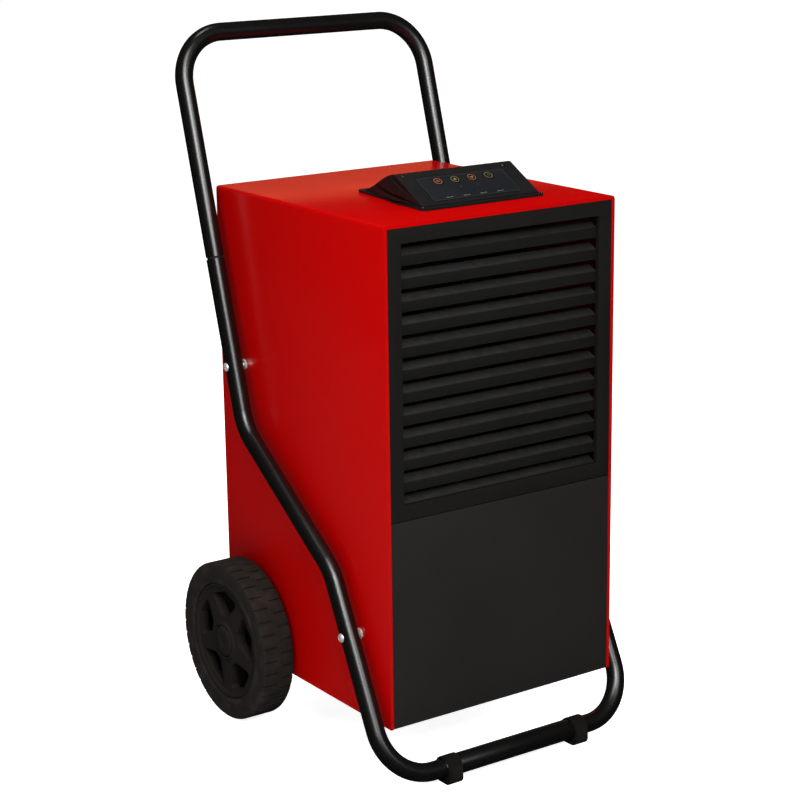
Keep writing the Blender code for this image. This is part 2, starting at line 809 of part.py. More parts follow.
def compressor():
    """The welded compressor can with its accumulator, feet and two stubs, as one body."""
    base = 100 * MM
    profile = [
        (0.0, 300 * MM),
        (32 * MM, 298 * MM),
        (58 * MM, 287 * MM),
        (72 * MM, 264 * MM),
        (72 * MM, 132 * MM),
        (62 * MM, 110 * MM),
        (40 * MM, base + 1 * MM),
        (0.0, base + 1 * MM),
    ]
    can = turned("compressor", profile, 24)
    can.location = (COMPRESSOR_X, COMPRESSOR_Y, 0.0)
    ends = [(COMPRESSOR_X + x, COMPRESSOR_Y + y) for x, y in foot_corners()]
    feet = plate("compressor_feet", [rounded_outline(ends, 14 * MM)], base, base + 3 * MM)
    stub = bar(
        "discharge_stub",
        6 * MM,
        (COMPRESSOR_X, COMPRESSOR_Y, 292 * MM),
        (COMPRESSOR_X, COMPRESSOR_Y, 312 * MM),
        12,
    )
    bottle_profile = [
        (0.0, 300 * MM),
        (6 * MM, 300 * MM),
        (6 * MM, 270 * MM),
        (24 * MM, 254 * MM),
        (24 * MM, 168 * MM),
        (14 * MM, 154 * MM),
        (0.0, 154 * MM),
    ]
    bottle = turned("accumulator", bottle_profile, 14)
    bottle.location = (ACCUMULATOR_X, COMPRESSOR_Y, 0.0)
    elbow_path = rounded_path(
        [
            (ACCUMULATOR_X, COMPRESSOR_Y, 162 * MM),
            (ACCUMULATOR_X, COMPRESSOR_Y, 136 * MM),
            (COMPRESSOR_X + 60 * MM, COMPRESSOR_Y, 136 * MM),
        ],
        14 * MM,
        3,
    )
    elbow = pipe("accumulator_elbow", elbow_path, 6 * MM)
    strap = box(
        "accumulator_strap",
        (COMPRESSOR_X + 66 * MM, COMPRESSOR_Y - 8 * MM, 206 * MM),
        (ACCUMULATOR_X - 18 * MM, COMPRESSOR_Y + 8 * MM, 216 * MM),
    )
    fuse(can, feet, stub, bottle, elbow, strap)
    return finish(can, "black_paint")


def foot_corners():
    """The three corners of the compressor's foot plate, about its axis."""
    reach = 100 * MM
    angles = (math.radians(a) for a in (90, 210, 330))
    return [(reach * math.cos(a), reach * math.sin(a) * 0.85) for a in angles]


def compressor_mount():
    """A rubber mat with a raised pad under each corner of the compressor's foot plate."""
    low = CABINET_FLOOR + 2.4 * MM
    ends = [(COMPRESSOR_X + x, COMPRESSOR_Y + y) for x, y in foot_corners()]
    mat = plate("compressor_mount", [rounded_outline(ends, 14 * MM)], low, low + 3 * MM)
    for i, (x, y) in enumerate(foot_corners()):
        place = (COMPRESSOR_X + 0.72 * x, COMPRESSOR_Y + 0.72 * y)
        top = 100 * MM - GAP
        fuse(mat, bar(f"mount_pad_{i}", 11 * MM, (*place, low + 1 * MM), (*place, top), 12))
    return finish(mat, "rubber")


def refrigerant_pipes():
    """The three connecting pipes between the compressor and the two coils."""
    step = 0.5 * MM
    port = COIL_PORT_X + step
    hot = rounded_path(
        [
            (COMPRESSOR_X, COMPRESSOR_Y, 312 * MM + step),
            (COMPRESSOR_X, COMPRESSOR_Y, 345 * MM),
            (COMPRESSOR_X, -60 * MM, 345 * MM),
            (RISER_X, -60 * MM, 345 * MM),
            (RISER_X, 70 * MM, 345 * MM),
            (RISER_X, 70 * MM, COIL_TOP_Z),
            (RISER_X, CONDENSER_Y, COIL_TOP_Z),
            (port, CONDENSER_Y, COIL_TOP_Z),
        ],
        6.5 * MM,
        2,
    )
    finish(pipe("discharge_pipe", hot, 4 * MM), "copper")
    cold = rounded_path(
        [
            (port, EVAPORATOR_Y, COIL_TOP_Z),
            (RISER_X, EVAPORATOR_Y, COIL_TOP_Z),
            (RISER_X, 180 * MM, COIL_TOP_Z),
            (RISER_X, 180 * MM, 325 * MM),
            (RISER_X, COMPRESSOR_Y, 325 * MM),
            (ACCUMULATOR_X, COMPRESSOR_Y, 325 * MM),
            (ACCUMULATOR_X, COMPRESSOR_Y, 300 * MM + step),
        ],
        6.5 * MM,
        2,
    )
    finish(pipe("suction_pipe", cold, 4.8 * MM), "copper")
    last_z = coil_heights()[-1]
    thin = rounded_path(
        [
            (port, CONDENSER_Y, last_z),
            (RISER_X, CONDENSER_Y, last_z),
            (RISER_X, CONDENSER_Y, last_z - 25 * MM),
            (RISER_X, EVAPORATOR_Y, last_z - 25 * MM),
            (RISER_X, EVAPORATOR_Y, last_z),
            (port, EVAPORATOR_Y, last_z),
        ],
        4 * MM,
        2,
    )
    finish(pipe("capillary_tube", thin, 2 * MM), "copper")


# ---------------------------------------------------------------- air path

def fan_shroud():
    """A bulkhead with a round duct for the fan and four arms that hold its motor."""
    low_y = SHROUD_Y - 1 * MM
    high_y = SHROUD_Y + 1 * MM
    outline = [
        (-INNER_HALF, SHELF_Z + SHELF_THICK + GAP),
        (INNER_HALF, SHELF_Z + SHELF_THICK + GAP),
        (INNER_HALF, INNER_TOP),
        (-INNER_HALF, INNER_TOP),
    ]
    hole = circle(SHROUD_RADIUS + 0.7 * MM, (0.0, FAN_Z), 32)
    shroud = plate("fan_shroud", [outline, hole], low_y, high_y, "XZ")
    duct_profile = [
        (SHROUD_RADIUS + 2 * MM, 40 * MM),
        (SHROUD_RADIUS + 2 * MM, -0.7 * MM),
        (SHROUD_RADIUS - 0.5 * MM, -0.7 * MM),
        (SHROUD_RADIUS - 0.5 * MM, 40 * MM),
    ]
    duct = turned("fan_duct", duct_profile, 32, ring=True)
    duct.location = (0.0, high_y, FAN_Z)
    duct.rotation_euler = (math.pi / 2, 0.0, 0.0)
    fuse(shroud, duct)
    for i in range(2):
        arm = box(
            f"motor_arm_{i}",
            (-SHROUD_RADIUS - 1 * MM, -2.5 * MM, -6 * MM),
            (SHROUD_RADIUS + 1 * MM, 2.5 * MM, 6 * MM),
        )
        arm.location = (0.0, SHROUD_Y - 0.5 * MM, FAN_Z)
        arm.rotation_euler = (0.0, math.radians(45 + 90 * i), 0.0)
        fuse(shroud, arm)
    seat = bar(
        "motor_seat",
        40 * MM,
        (0.0, SHROUD_Y - 3.4 * MM, FAN_Z),
        (0.0, SHROUD_Y + 2.4 * MM, FAN_Z),
    )
    shaft_hole = bar(
        "motor_shaft_hole",
        11 * MM,
        (0.0, SHROUD_Y - 20 * MM, FAN_Z),
        (0.0, SHROUD_Y + 20 * MM, FAN_Z),
        16,
    )
    fuse(shroud, seat)
    cut(shroud, shaft_hole)
    return finish(shroud, "black_plastic")


def fan_motor():
    """The motor can behind the bulkhead, its shaft forwards through the hole."""
    back = SHROUD_Y + 3 * MM
    shaft = back - FAN_Y + 5.5 * MM
    profile = [
        (0.0, shaft),
        (4 * MM, shaft),
        (4 * MM, 0.0),
        (38 * MM, 0.0),
        (42 * MM, -4 * MM),
        (42 * MM, -44 * MM),
        (36 * MM, -50 * MM),
        (0.0, -50 * MM),
    ]
    motor = turned("fan_motor", profile, 20)
    motor.location = (0.0, back, FAN_Z)
    motor.rotation_euler = (math.pi / 2, 0.0, 0.0)
    return finish(motor, "galvanised")


def fan_blades():
    """Five pitched blades about local Z, not yet joined to the hub."""
    root, tip = 32 * MM, FAN_RADIUS
    bm = bmesh.new()
    for blade in range(5):
        made = bmesh.ops.create_grid(bm, x_segments=3, y_segments=3, size=1.0)["verts"]
        for vertex in made:
            out = (vertex.co.x + 1) / 2
            chord = vertex.co.y
            angle = chord * math.radians(27 - 5 * out) + math.tau * blade / 5
            radius = root + (tip - root) * out
            pitch = (13 - 4 * out) * MM
            camber = 2.5 * MM * (1 - chord * chord)
            vertex.co = (
                radius * math.cos(angle),
                radius * math.sin(angle),
                pitch * chord + camber,
            )
    mesh = bpy.data.meshes.new("fan_blades")
    bm.to_mesh(mesh)
    bm.free()
    blades = link("fan_blades", mesh)
    solidify = blades.modifiers.new("blade_thickness", "SOLIDIFY")
    solidify.thickness = 2 * MM
    solidify.offset = 0.0
    return blades


def fan_wheel():
    profile = [
        (0.0, 14 * MM),
        (24 * MM, 14 * MM),
        (34 * MM, 10 * MM),
        (36 * MM, 4 * MM),
        (36 * MM, -12 * MM),
        (4.6 * MM, -12 * MM),
        (4.6 * MM, 6 * MM),
        (0.0, 6 * MM),
    ]
    wheel = turned("fan_wheel", profile, 20)
    blades = fan_blades()
    for obj in (wheel, blades):
        obj.location = (0.0, FAN_Y, FAN_Z)
        obj.rotation_euler = (math.pi / 2, 0.0, 0.0)
    return finish(fuse(wheel, blades), "black_plastic")


def filter_cassette():
    """A framed grille that plugs into the rear opening and pulls straight out."""
    inner_y = 189.5 * MM
    face_y = BACK + GAP
    cassette = box(
        "filter_cassette",
        (-FILTER_HALF, inner_y, FILTER_BOTTOM),
        (FILTER_HALF, face_y + 1 * MM, FILTER_TOP),
    )
    face = box(
        "cassette_face",
        (-FILTER_HALF - 9 * MM, face_y, FILTER_BOTTOM - 9 * MM),
        (FILTER_HALF + 9 * MM, face_y + 3 * MM, FILTER_TOP + 9 * MM),
    )
    bevel(face, 1.2 * MM, 1)
    tab = box(
        "cassette_tab",
        (-25 * MM, face_y + 1 * MM, FILTER_TOP - 4 * MM),
        (25 * MM, face_y + 12 * MM, FILTER_TOP),
    )
    pocket = box(
        "cassette_pocket",
        (-FILTER_HALF + 6 * MM, inner_y - 5 * MM, FILTER_BOTTOM + 6 * MM),
        (FILTER_HALF - 6 * MM, BACK - 9 * MM, FILTER_TOP - 6 * MM),
    )
    columns, rows = 3, 8
    pitch_x = 2 * (FILTER_HALF - 7 * MM) / columns
    pitch_z = (FILTER_TOP - FILTER_BOTTOM - 14 * MM) / rows
    spans = []
    for column in range(columns):
        for row in range(rows):
            x = -FILTER_HALF + 7 * MM + pitch_x * column
            z = FILTER_BOTTOM + 7 * MM + pitch_z * row
            low = (x + 4 * MM, inner_y, z + 4 * MM)
            high = (x + pitch_x - 4 * MM, face_y + 20 * MM, z + pitch_z - 4 * MM)
            spans.append((low, high))
    fuse(cassette, face)
    cut(cassette, pocket, boxes("cassette_slots", spans))
    fuse(cassette, tab)
    return finish(cassette, "black_plastic")


def filter_mesh():
    low_y = BACK - 14 * MM
    mesh = box(
        "filter_mesh",
        (-FILTER_HALF + 6.5 * MM, low_y, FILTER_BOTTOM + 6.5 * MM),
        (FILTER_HALF - 6.5 * MM, BACK - 9.5 * MM, FILTER_TOP - 6.5 * MM),
    )
    return finish(mesh, "filter_net")


# ---------------------------------------------------------------- water path

def drip_tray():
    """A shallow pan that both coils stand in, with a spout down through the shelf."""
    low_z = SHELF_Z + SHELF_THICK + 0.5 * MM
    tray = box("drip_tray", (-160 * MM, 62 * MM, low_z), (160 * MM, 188 * MM, 396 * MM))
    room = box(
        "tray_room",
        (-158.5 * MM, 63.5 * MM, low_z + 1.5 * MM),
        (158.5 * MM, 186.5 * MM, 410 * MM),
    )
    spout = bar("tray_spout", 8 * MM, (*DRAIN, 360 * MM), (*DRAIN, low_z + 1 * MM), 16)
    bore = bar("tray_bore", 5.5 * MM, (*DRAIN, 350 * MM), (*DRAIN, 390 * MM), 16)
    cut(tray, room)
    fuse(tray, spout)
    cut(tray, bore)
    return finish(tray, "galvanised")


def drain_hose():
    """A short hose on the tray's spout that lets water fall into the open tank."""
    profile = [
        (10.8 * MM, SHELF_Z - 0.5 * MM),
        (10.8 * MM, TANK_TOP + 8 * MM),
        (8.5 * MM, TANK_TOP + 8 * MM),
        (8.5 * MM, SHELF_Z - 0.5 * MM),
    ]
    hose = turned("drain_hose", profile, 16, ring=True)
    hose.location = (*DRAIN, 0.0)
    return finish(hose, "rubber")


def tank_shelf():
    """The folded sheet the tank slides on, its legs astride the axle."""
    top = TANK_BOTTOM - 0.5 * MM
    foot = CABINET_FLOOR + 2.3 * MM
    half = 165 * MM
    thick = 2 * MM
    outline = [
        (-half, foot),
        (-half, top),
        (half, top),
        (half, foot),
        (half - thick, foot),
        (half - thick, top - thick),
        (-half + thick, top - thick),
        (-half + thick, foot),
    ]
    shelf = plate("tank_shelf", [outline], 5 * MM, 199 * MM, "XZ")
    axle_hole = bar(
        "shelf_axle_hole",
        AXLE_RADIUS + 0.8 * MM,
        (-HALF_WIDTH, WHEEL_Y, WHEEL_RADIUS),
        (HALF_WIDTH, WHEEL_Y, WHEEL_RADIUS),
    )
    return finish(cut(shelf, axle_hole), "galvanised")


def water_tank():
    """An open-topped tank with a face plate, a finger recess and lugs for the float."""
    face_y = BACK + GAP
    tank = box(
        "water_tank",
        (-TANK_HALF, TANK_FRONT, TANK_BOTTOM),
        (TANK_HALF, face_y + 1 * MM, TANK_TOP),
    )
    bevel(tank, 8 * MM, 2)
    room = box(
        "tank_room",
        (-TANK_HALF + TANK_WALL, TANK_FRONT + TANK_WALL, TANK_BOTTOM + TANK_WALL),
        (TANK_HALF - TANK_WALL, BACK - TANK_WALL, TANK_TOP + 40 * MM),
    )
    bevel(room, 6 * MM, 2)
    open_top = box(
        "tank_open_top",
        (-TANK_HALF - 5 * MM, TANK_FRONT - 5 * MM, TANK_TOP - 8.5 * MM),
        (TANK_HALF + 5 * MM, BACK + 10 * MM, TANK_TOP + 5 * MM),
    )
    face = box(
        "tank_face",
        (-TANK_HALF - 10 * MM, face_y, TANK_BOTTOM - 7.5 * MM),
        (TANK_HALF + 10 * MM, face_y + 3 * MM, TANK_TOP + 12 * MM),
    )
    bevel(face, 1.2 * MM, 1)
    grip_block = box(
        "tank_grip_block",
        (-60 * MM, 180 * MM, 262 * MM),
        (60 * MM, face_y + 1 * MM, 306 * MM),
    )
    grip_pocket = box(
        "tank_grip_pocket",
        (-54 * MM, 184 * MM, 268 * MM),
        (54 * MM, face_y + 20 * MM, 300 * MM),
    )
    cut(tank, room, open_top)
    fuse(tank, face, grip_block)
    cut(tank, grip_pocket)
    pivot_y, pivot_z = FLOAT_PIVOT
    for side in (-1, 1):
        inner, outer = sorted((side * 9 * MM, side * 13 * MM))
        lug = box(
            f"float_lug_{(side + 1) // 2}",
            (inner, TANK_FRONT + 1 * MM, pivot_z - 7 * MM),
            (outer, pivot_y + 6 * MM, pivot_z + 7 * MM),
        )
        fuse(tank, lug)
    pin_hole = bar(
        "float_pin_hole",
        2.7 * MM,
        (-20 * MM, pivot_y, pivot_z),
        (20 * MM, pivot_y, pivot_z),
        16,
    )
    return finish(cut(tank, pin_hole), "tank_plastic")


def tank_float():
    """A foam block on an arm that swings up on its pin as the tank fills."""
    pivot_y, pivot_z = FLOAT_PIVOT
    pivot = (0.0, pivot_y, pivot_z)
    arm = box("tank_float", (-4 * MM, -4 * MM, -3 * MM), (4 * MM, 46 * MM, 3 * MM))
    block = box("float_block", (-24 * MM, 34 * MM, -10 * MM), (24 * MM, 68 * MM, 10 * MM))
    bevel(block, 3 * MM, 1)
    for obj in (arm, block):
        middle = Matrix.Translation(obj.location)
        tilt = Matrix.Rotation(-FLOAT_DROOP, 4, "X")
        obj.matrix_world = Matrix.Translation(pivot) @ tilt @ middle
    pin = bar("float_pin", 2 * MM, (-13 * MM, pivot_y, pivot_z), (13 * MM, pivot_y, pivot_z), 16)
    return finish(fuse(arm, block, pin), "white_plastic")


# ---------------------------------------------------------------- cart

def upper_leg_y(z):
    """The upper leg's line, from the handle's top to its upper bend."""
    top_y, top_z = HANDLE_TOP
    bend_y, bend_z = UPPER_BEND
    return bend_y + (top_y - bend_y) * (z - bend_z) / (top_z - bend_z)


def bolt_holes(tube, side):
    for i, (y, z) in enumerate(BOLT_SPOTS):
        near = side * (TUBE_X - 20 * MM)
        far = side * (TUBE_X + 20 * MM)
        cut(tube, bar(f"{tube.name}_hole_{i}", 3.7 * MM, (near, y, z), (far, y, z), 10))


def side_tube(name, side):
    """One side of the frame: leg, diagonal, lower leg and the bend into the cross tube."""
    x = side * TUBE_X
    corners = [
        (x, upper_leg_y(HANDLE_JOINT_Z), HANDLE_JOINT_Z),
        (x, *UPPER_BEND),
        (x, *LOWER_BEND),
        (x, *FOOT_BAR),
        (side * 80 * MM, *FOOT_BAR),
    ]
    frame_end = rounded_path(corners[2:], FOOT_BEND_RADIUS, 7)[1:]
    path = rounded_path(corners[:4], BEND_RADIUS, 4)[:-1] + frame_end
    tube = hollow_tube(name, path, TUBE_RADIUS, TUBE_WALL)
    bolt_holes(tube, side)
    return finish(tube, "tube_paint")


def spigot(name, side):
    """The necked end of the handle that plugs into a side tube."""
    neck = TUBE_RADIUS - TUBE_WALL + 0.5 * MM
    profile = [
        (neck, 14 * MM),
        (neck, 2 * MM),
        (10 * MM, -1 * MM),
        (10 * MM, -45 * MM),
        (8 * MM, -45 * MM),
        (8 * MM, 14 * MM),
    ]
    obj = turned(name, profile, 12, ring=True)
    z = HANDLE_JOINT_Z + 4 * MM
    obj.location = (side * TUBE_X, upper_leg_y(z), z)
    lean = math.atan2(HANDLE_TOP[0] - UPPER_BEND[0], HANDLE_TOP[1] - UPPER_BEND[1])
    obj.rotation_euler = (-lean, 0.0, 0.0)
    return obj


def handle_tube():
    """The push handle, one tube bent into a U, plugged into both side tubes."""
    z = HANDLE_JOINT_Z + 3 * MM
    y = upper_leg_y(z)
    corners = [
        (-TUBE_X, y, z),
        (-TUBE_X, *HANDLE_TOP),
        (TUBE_X, *HANDLE_TOP),
        (TUBE_X, y, z),
    ]
    path = rounded_path(corners, BEND_RADIUS, 6)
    tube = hollow_tube("handle_tube", path, TUBE_RADIUS, TUBE_WALL)
    fuse(tube, spigot("spigot_left", -1), spigot("spigot_right", 1))
    return finish(tube, "tube_paint")


def cross_tube():
    """The thicker tube at the front that joins the ends of both side tubes."""
    bore = TUBE_RADIUS + 0.4 * MM
    profile = [
        (CROSS_RADIUS - 0.6 * MM, CROSS_HALF),
        (CROSS_RADIUS, CROSS_HALF - 0.6 * MM),
        (CROSS_RADIUS, -CROSS_HALF + 0.6 * MM),
        (CROSS_RADIUS - 0.6 * MM, -CROSS_HALF),
        (bore, -CROSS_HALF),
        (bore, CROSS_HALF),
    ]
    tube = turned("cross_tube", profile, 20, ring=True)
    tube.location = (0.0, *FOOT_BAR)
    tube.rotation_euler = (0.0, math.pi / 2, 0.0)
    return finish(tube, "tube_paint")


def rubber_foot(name, side):
    """A rubber saddle round the cross tube that stands on the floor."""
    y, z = FOOT_BAR
    ring, sole_half, heel = 16 * MM, 8 * MM, 9 * MM
    outline = circle(ring, (y, z), 11, 0.0, math.pi)
    for side_y, start in ((-1, math.pi), (1, 1.5 * math.pi)):
        centre = (y + side_y * sole_half, heel)
        outline += circle(heel, centre, 4, start, math.pi / 2)
    middle = side * FOOT_X
    bore = circle(CROSS_RADIUS + 0.4 * MM, (y, z), 20)
    half = FOOT_WIDTH / 2
    foot = plate(name, [outline, bore], middle - half, middle + half, "YZ")
    return finish(foot, "rubber")


def frame_bolt(name, side, spot):
    """A button-head bolt along X through tube, spacer and cabinet side."""
    profile = [
        (0.0, 3.2 * MM),
        (4 * MM, 2.7 * MM),
        (6 * MM, 0.0),
        (BOLT_RADIUS, 0.0),
        (BOLT_RADIUS, -42 * MM),
        (0.0, -42 * MM),
    ]
    bolt = turned(name, profile, 12)
    bolt.location = (side * (TUBE_X + TUBE_RADIUS + 0.4 * MM), *spot)
    bolt.rotation_euler = (0.0, side * math.pi / 2, 0.0)
    return finish(bolt, "bright_steel")


def frame_spacer(name, side, spot):
    """The washer stack between a tube and the cabinet side."""
    profile = [
        (7.5 * MM, 1.75 * MM),
        (7.5 * MM, -1.75 * MM),
        (3.7 * MM, -1.75 * MM),
        (3.7 * MM, 1.75 * MM),
    ]
    spacer = turned(name, profile, 12, ring=True)
    middle = (HALF_WIDTH + TUBE_X - TUBE_RADIUS) / 2
    spacer.location = (side * middle, *spot)
    spacer.rotation_euler = (0.0, math.pi / 2, 0.0)
    return finish(spacer, "bright_steel")


def axle():
    half = WHEEL_INNER_X + 39.5 * MM
    rod = bar(
        "axle",
        AXLE_RADIUS,
        (-half, WHEEL_Y, WHEEL_RADIUS),
        (half, WHEEL_Y, WHEEL_RADIUS),
        20,
    )
    return finish(rod, "bright_steel")


def wheel_opening(index):
    """One of the five windows of the wheel, wide along the rim and narrow at the hub."""
    middle = math.tau * index / 5
    inner, rim, crown = 37 * MM, 71.5 * MM, 74.3 * MM
    narrow, wide = math.radians(11), math.radians(29)
    spokes = (
        (inner, -narrow),
        (rim, -wide),
        (crown, 0.0),
        (rim, wide),
        (inner, narrow),
    )
    corners = [
        (radius * math.cos(middle + angle), radius * math.sin(middle + angle))
        for radius, angle in spokes
    ]
    outline = rounded_outline(corners, 5.5 * MM, 2)
    return plate(f"wheel_window_{index}", [outline], 21 * MM, 60 * MM)


def wheel_mesh():
    """The moulded wheel about local Z, its inner face at zero.

    A thick five-armed star fills its mouth, a thin disc closes its back, and the space
    between them runs round the hub, so the windows look into a dark hollow.
    """
    profile = [
        (83.6 * MM, 45.5 * MM),
        (83.6 * MM, 3 * MM),
        (79 * MM, 3 * MM),
        (78 * MM, 8 * MM),
        (26 * MM, 8 * MM),
        (25 * MM, 2 * MM),
        (10.6 * MM, 2 * MM),
        (10.6 * MM, 43 * MM),
        (23.6 * MM, 43 * MM),
        (23.6 * MM, 47.5 * MM),
        (26 * MM, 47.5 * MM),
        (28 * MM, 45 * MM),
        (76.5 * MM, 44.5 * MM),
        (79 * MM, 46.5 * MM),
        (82.6 * MM, 46.5 * MM),
    ]
    hollow = [
        (78.5 * MM, 31 * MM),
        (78.5 * MM, 11 * MM),
        (29 * MM, 11 * MM),
        (29 * MM, 31 * MM),
    ]
    wheel = turned("wheel_pattern", profile, 32, ring=True)
    cut(wheel, turned("wheel_hollow", hollow, 32, ring=True))
    cut(wheel, *[wheel_opening(i) for i in range(5)])
    return bake(wheel)


def bake(obj):
    """The object's evaluated mesh on its own; the object and its cutters are removed."""
    depsgraph = bpy.context.evaluated_depsgraph_get()
    mesh = bpy.data.meshes.new_from_object(obj.evaluated_get(depsgraph))
    tools = [m.object for m in obj.modifiers if m.type == "BOOLEAN"]
    for spent in [obj, *tools]:
        bpy.data.objects.remove(spent, do_unlink=True)
    return mesh


def tyre_profile():
    wide = WHEEL_WIDTH
    tread = WHEEL_RADIUS
    return [
        (86 * MM, wide),
        (111.5 * MM, wide),
        (tread, wide - 2.5 * MM),
        (tread, 2.5 * MM),
        (111.5 * MM, 0.0),
        (86 * MM, 0.0),
        (84 * MM, 2 * MM),
        (84 * MM, wide - 2 * MM),
    ]


def wheel_cap_profile():
    return [
        (0.0, 49.6 * MM),
        (19 * MM, 49 * MM),
        (23 * MM, 46.4 * MM),
        (23 * MM, 43.4 * MM),
        (0.0, 43.4 * MM),
    ]


def road_wheel(name, side, mesh):
    """Wheel, tyre and cap on one spin axis; the mouth of the wheel faces outwards."""
    place = (side * WHEEL_INNER_X, WHEEL_Y, WHEEL_RADIUS)
    spin = joint_empty(f"{name}_spin", place)
    pieces = [
        finish(smooth(link(f"wheel_{name}", mesh.copy())), "black_plastic"),
        finish(turned(f"tyre_{name}", tyre_profile(), 32, ring=True), "rubber"),
        finish(turned(f"wheel_cap_{name}", wheel_cap_profile(), 20), "black_plastic"),
    ]
    for piece in pieces:
        piece.location = place
        piece.rotation_euler = (0.0, -math.pi / 2, math.pi if side > 0 else 0.0)
    hang(spin, *pieces)


# ---------------------------------------------------------------- mains cord

def cord_rest():
    """A strip with two hooked posts that the cord is wound on."""
    face_y = BACK + GAP
    half = CORD_POST_X + 17 * MM
    strip = box(
        "cord_rest",
        (-half, face_y, CORD_Z - 13 * MM),
        (half, face_y + 2 * MM, CORD_Z + 13 * MM),
    )
    for side in (-1, 1):
        x = side * CORD_POST_X
        index = (side + 1) // 2
        post = bar(
            f"cord_post_{index}",
            5 * MM,
            (x, face_y + 1 * MM, CORD_Z),
            (x, 240 * MM, CORD_Z),
            12,
        )
        stop = box(
            f"cord_stop_{index}",
            (x - 6 * MM, 239 * MM, CORD_Z - 14 * MM),
            (x + 6 * MM, 242 * MM, CORD_Z + 14 * MM),
        )
        fuse(strip, post, stop)
    return finish(strip, "black_plastic")


def cord_path():
    """From inside the back, out, round the posts, and down to where the plug hangs."""
    bend = 5 * MM + CORD_RADIUS + 0.8 * MM
    first_y = 234.8 * MM
    half_turns, end_steps = 5, 4
    path = rounded_path(
        [
            (CORD_EXIT_X, 192 * MM, CORD_Z),
            (CORD_EXIT_X, first_y, CORD_Z),
            (128 * MM, first_y, CORD_Z + bend),
        ],
        9 * MM,
        3,
    )
    last = half_turns * (end_steps + 1) - 1
    for i in range(last + 1):
        side = 1 if (i // (end_steps + 1)) % 2 else -1
        turn = math.pi * (i % (end_steps + 1)) / end_steps - side * math.pi / 2
        x = side * CORD_POST_X + bend * math.cos(turn)
        y = first_y + (PLUG_PLACE[1] - first_y) * i / last
        path.append(Vector((x, y, CORD_Z + bend * math.sin(turn))))
    plug_x, plug_y, plug_top = PLUG_PLACE
    drop = [
        path[-1],
        (plug_x, plug_y, CORD_Z - bend),
        (plug_x, plug_y, plug_top - 6 * MM),
    ]
    return path[:-1] + rounded_path(drop, 9 * MM, 3)


def power_cord():
    """The mains cord, wound on its rest, with its strain relief moulded on."""
    cord = pipe("power_cord", cord_path(), CORD_RADIUS)
    relief_profile = [
        (5.5 * MM, 18 * MM),
        (8 * MM, 3.5 * MM),
        (10 * MM, 3 * MM),
        (10 * MM, 0.0),
        (2 * MM, 0.0),
        (2 * MM, 18 * MM),
    ]
    relief = turned("cord_relief", relief_profile, 12, ring=True)
    relief.location = (CORD_EXIT_X, BACK + GAP, CORD_Z)
    relief.rotation_euler = (-math.pi / 2, 0.0, 0.0)
    return finish(fuse(cord, relief), "rubber")


def power_plug():
    """A moulded two-pin plug on the cord's free end."""
    profile = [
        (0.0, -7 * MM),
        (CORD_RADIUS + 0.4 * MM, -7 * MM),
        (CORD_RADIUS + 0.4 * MM, 0.0),
        (6.5 * MM, 0.0),
        (8.5 * MM, -12 * MM),
        (15 * MM, -18 * MM),
        (15 * MM, -33 * MM),
        (0.0, -33 * MM),
    ]
    plug = turned("power_plug", profile, 20)
    plug.location = PLUG_PLACE
    x, y, top = PLUG_PLACE
    for side in (-1, 1):
        pin_x = x + side * 9.5 * MM
        start, tip = (pin_x, y, top - 30 * MM), (pin_x, y, top - 52 * MM)
        fuse(plug, bar(f"plug_pin_{(side + 1) // 2}", 2.4 * MM, start, tip, 10))
    return finish(plug, "rubber")


# ---------------------------------------------------------------- assembly

def build_cabinet():
    cabinet_cover()
    base_pan()
    lower_front_panel()
    louvre_panel()
    rear_panel()
    divider_shelf()


def build_controls():
    control_housing()
    control_overlay()
    control_buttons()
    control_board()
    panel_screws()


def build_refrigeration():
    coil_fins("evaporator_fins", EVAPORATOR_Y)
    coil_tube("evaporator_tube", EVAPORATOR_Y)
    coil_fins("condenser_fins", CONDENSER_Y)
    coil_tube("condenser_tube", CONDENSER_Y)
    compressor()
    compressor_mount()
    refrigerant_pipes()


def build_air_path():
    fan_shroud()
    fan_motor()
    fan_wheel()
    pull = joint_empty("filter_pull", (0.0, BACK, (FILTER_BOTTOM + FILTER_TOP) / 2))
    hang(pull, filter_cassette(), filter_mesh())


def build_water_path():
    drip_tray()
    drain_hose()
    tank_shelf()
    slide = joint_empty("tank_slide", (0.0, BACK, TANK_BOTTOM))
    swing = joint_empty("float_swing", (0.0, *FLOAT_PIVOT))
    hang(swing, tank_float())
    hang(slide, water_tank(), swing)


def build_cart():
    side_tube("side_tube_left", -1)
    side_tube("side_tube_right", 1)
    handle_tube()
    cross_tube()
    rubber_foot("foot_left", -1)
    rubber_foot("foot_right", 1)
    for side, word in ((-1, "left"), (1, "right")):
        for spot, level in zip(BOLT_SPOTS, ("upper", "lower")):
            frame_bolt(f"frame_bolt_{level}_{word}", side, spot)
            frame_spacer(f"frame_spacer_{level}_{word}", side, spot)
    axle()
    mesh = wheel_mesh()
    road_wheel("left", -1, mesh)
    road_wheel("right", 1, mesh)


def set_down():
    """Moves everything, cutters too, so that the origin is under the footprint's middle."""
    base = joint_empty("machine", (0.0, -FOOTPRINT_MIDDLE, 0.0))
    for obj in [*PARTS.objects, *CUTTERS.objects]:
        if obj.parent is None and obj is not base:
            obj.parent = base


build_cabinet()
build_controls()
build_refrigeration()
build_air_path()
build_water_path()
build_cart()
cord_rest()
power_cord()
power_plug()
set_down()
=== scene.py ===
"""The looks of the dehumidifier: paint, rubber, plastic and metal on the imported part."""

import json
from math import atan2, copysign, cos, pi, radians, sin, tan, tau

import bmesh
import bpy
from mathutils import Matrix, Vector

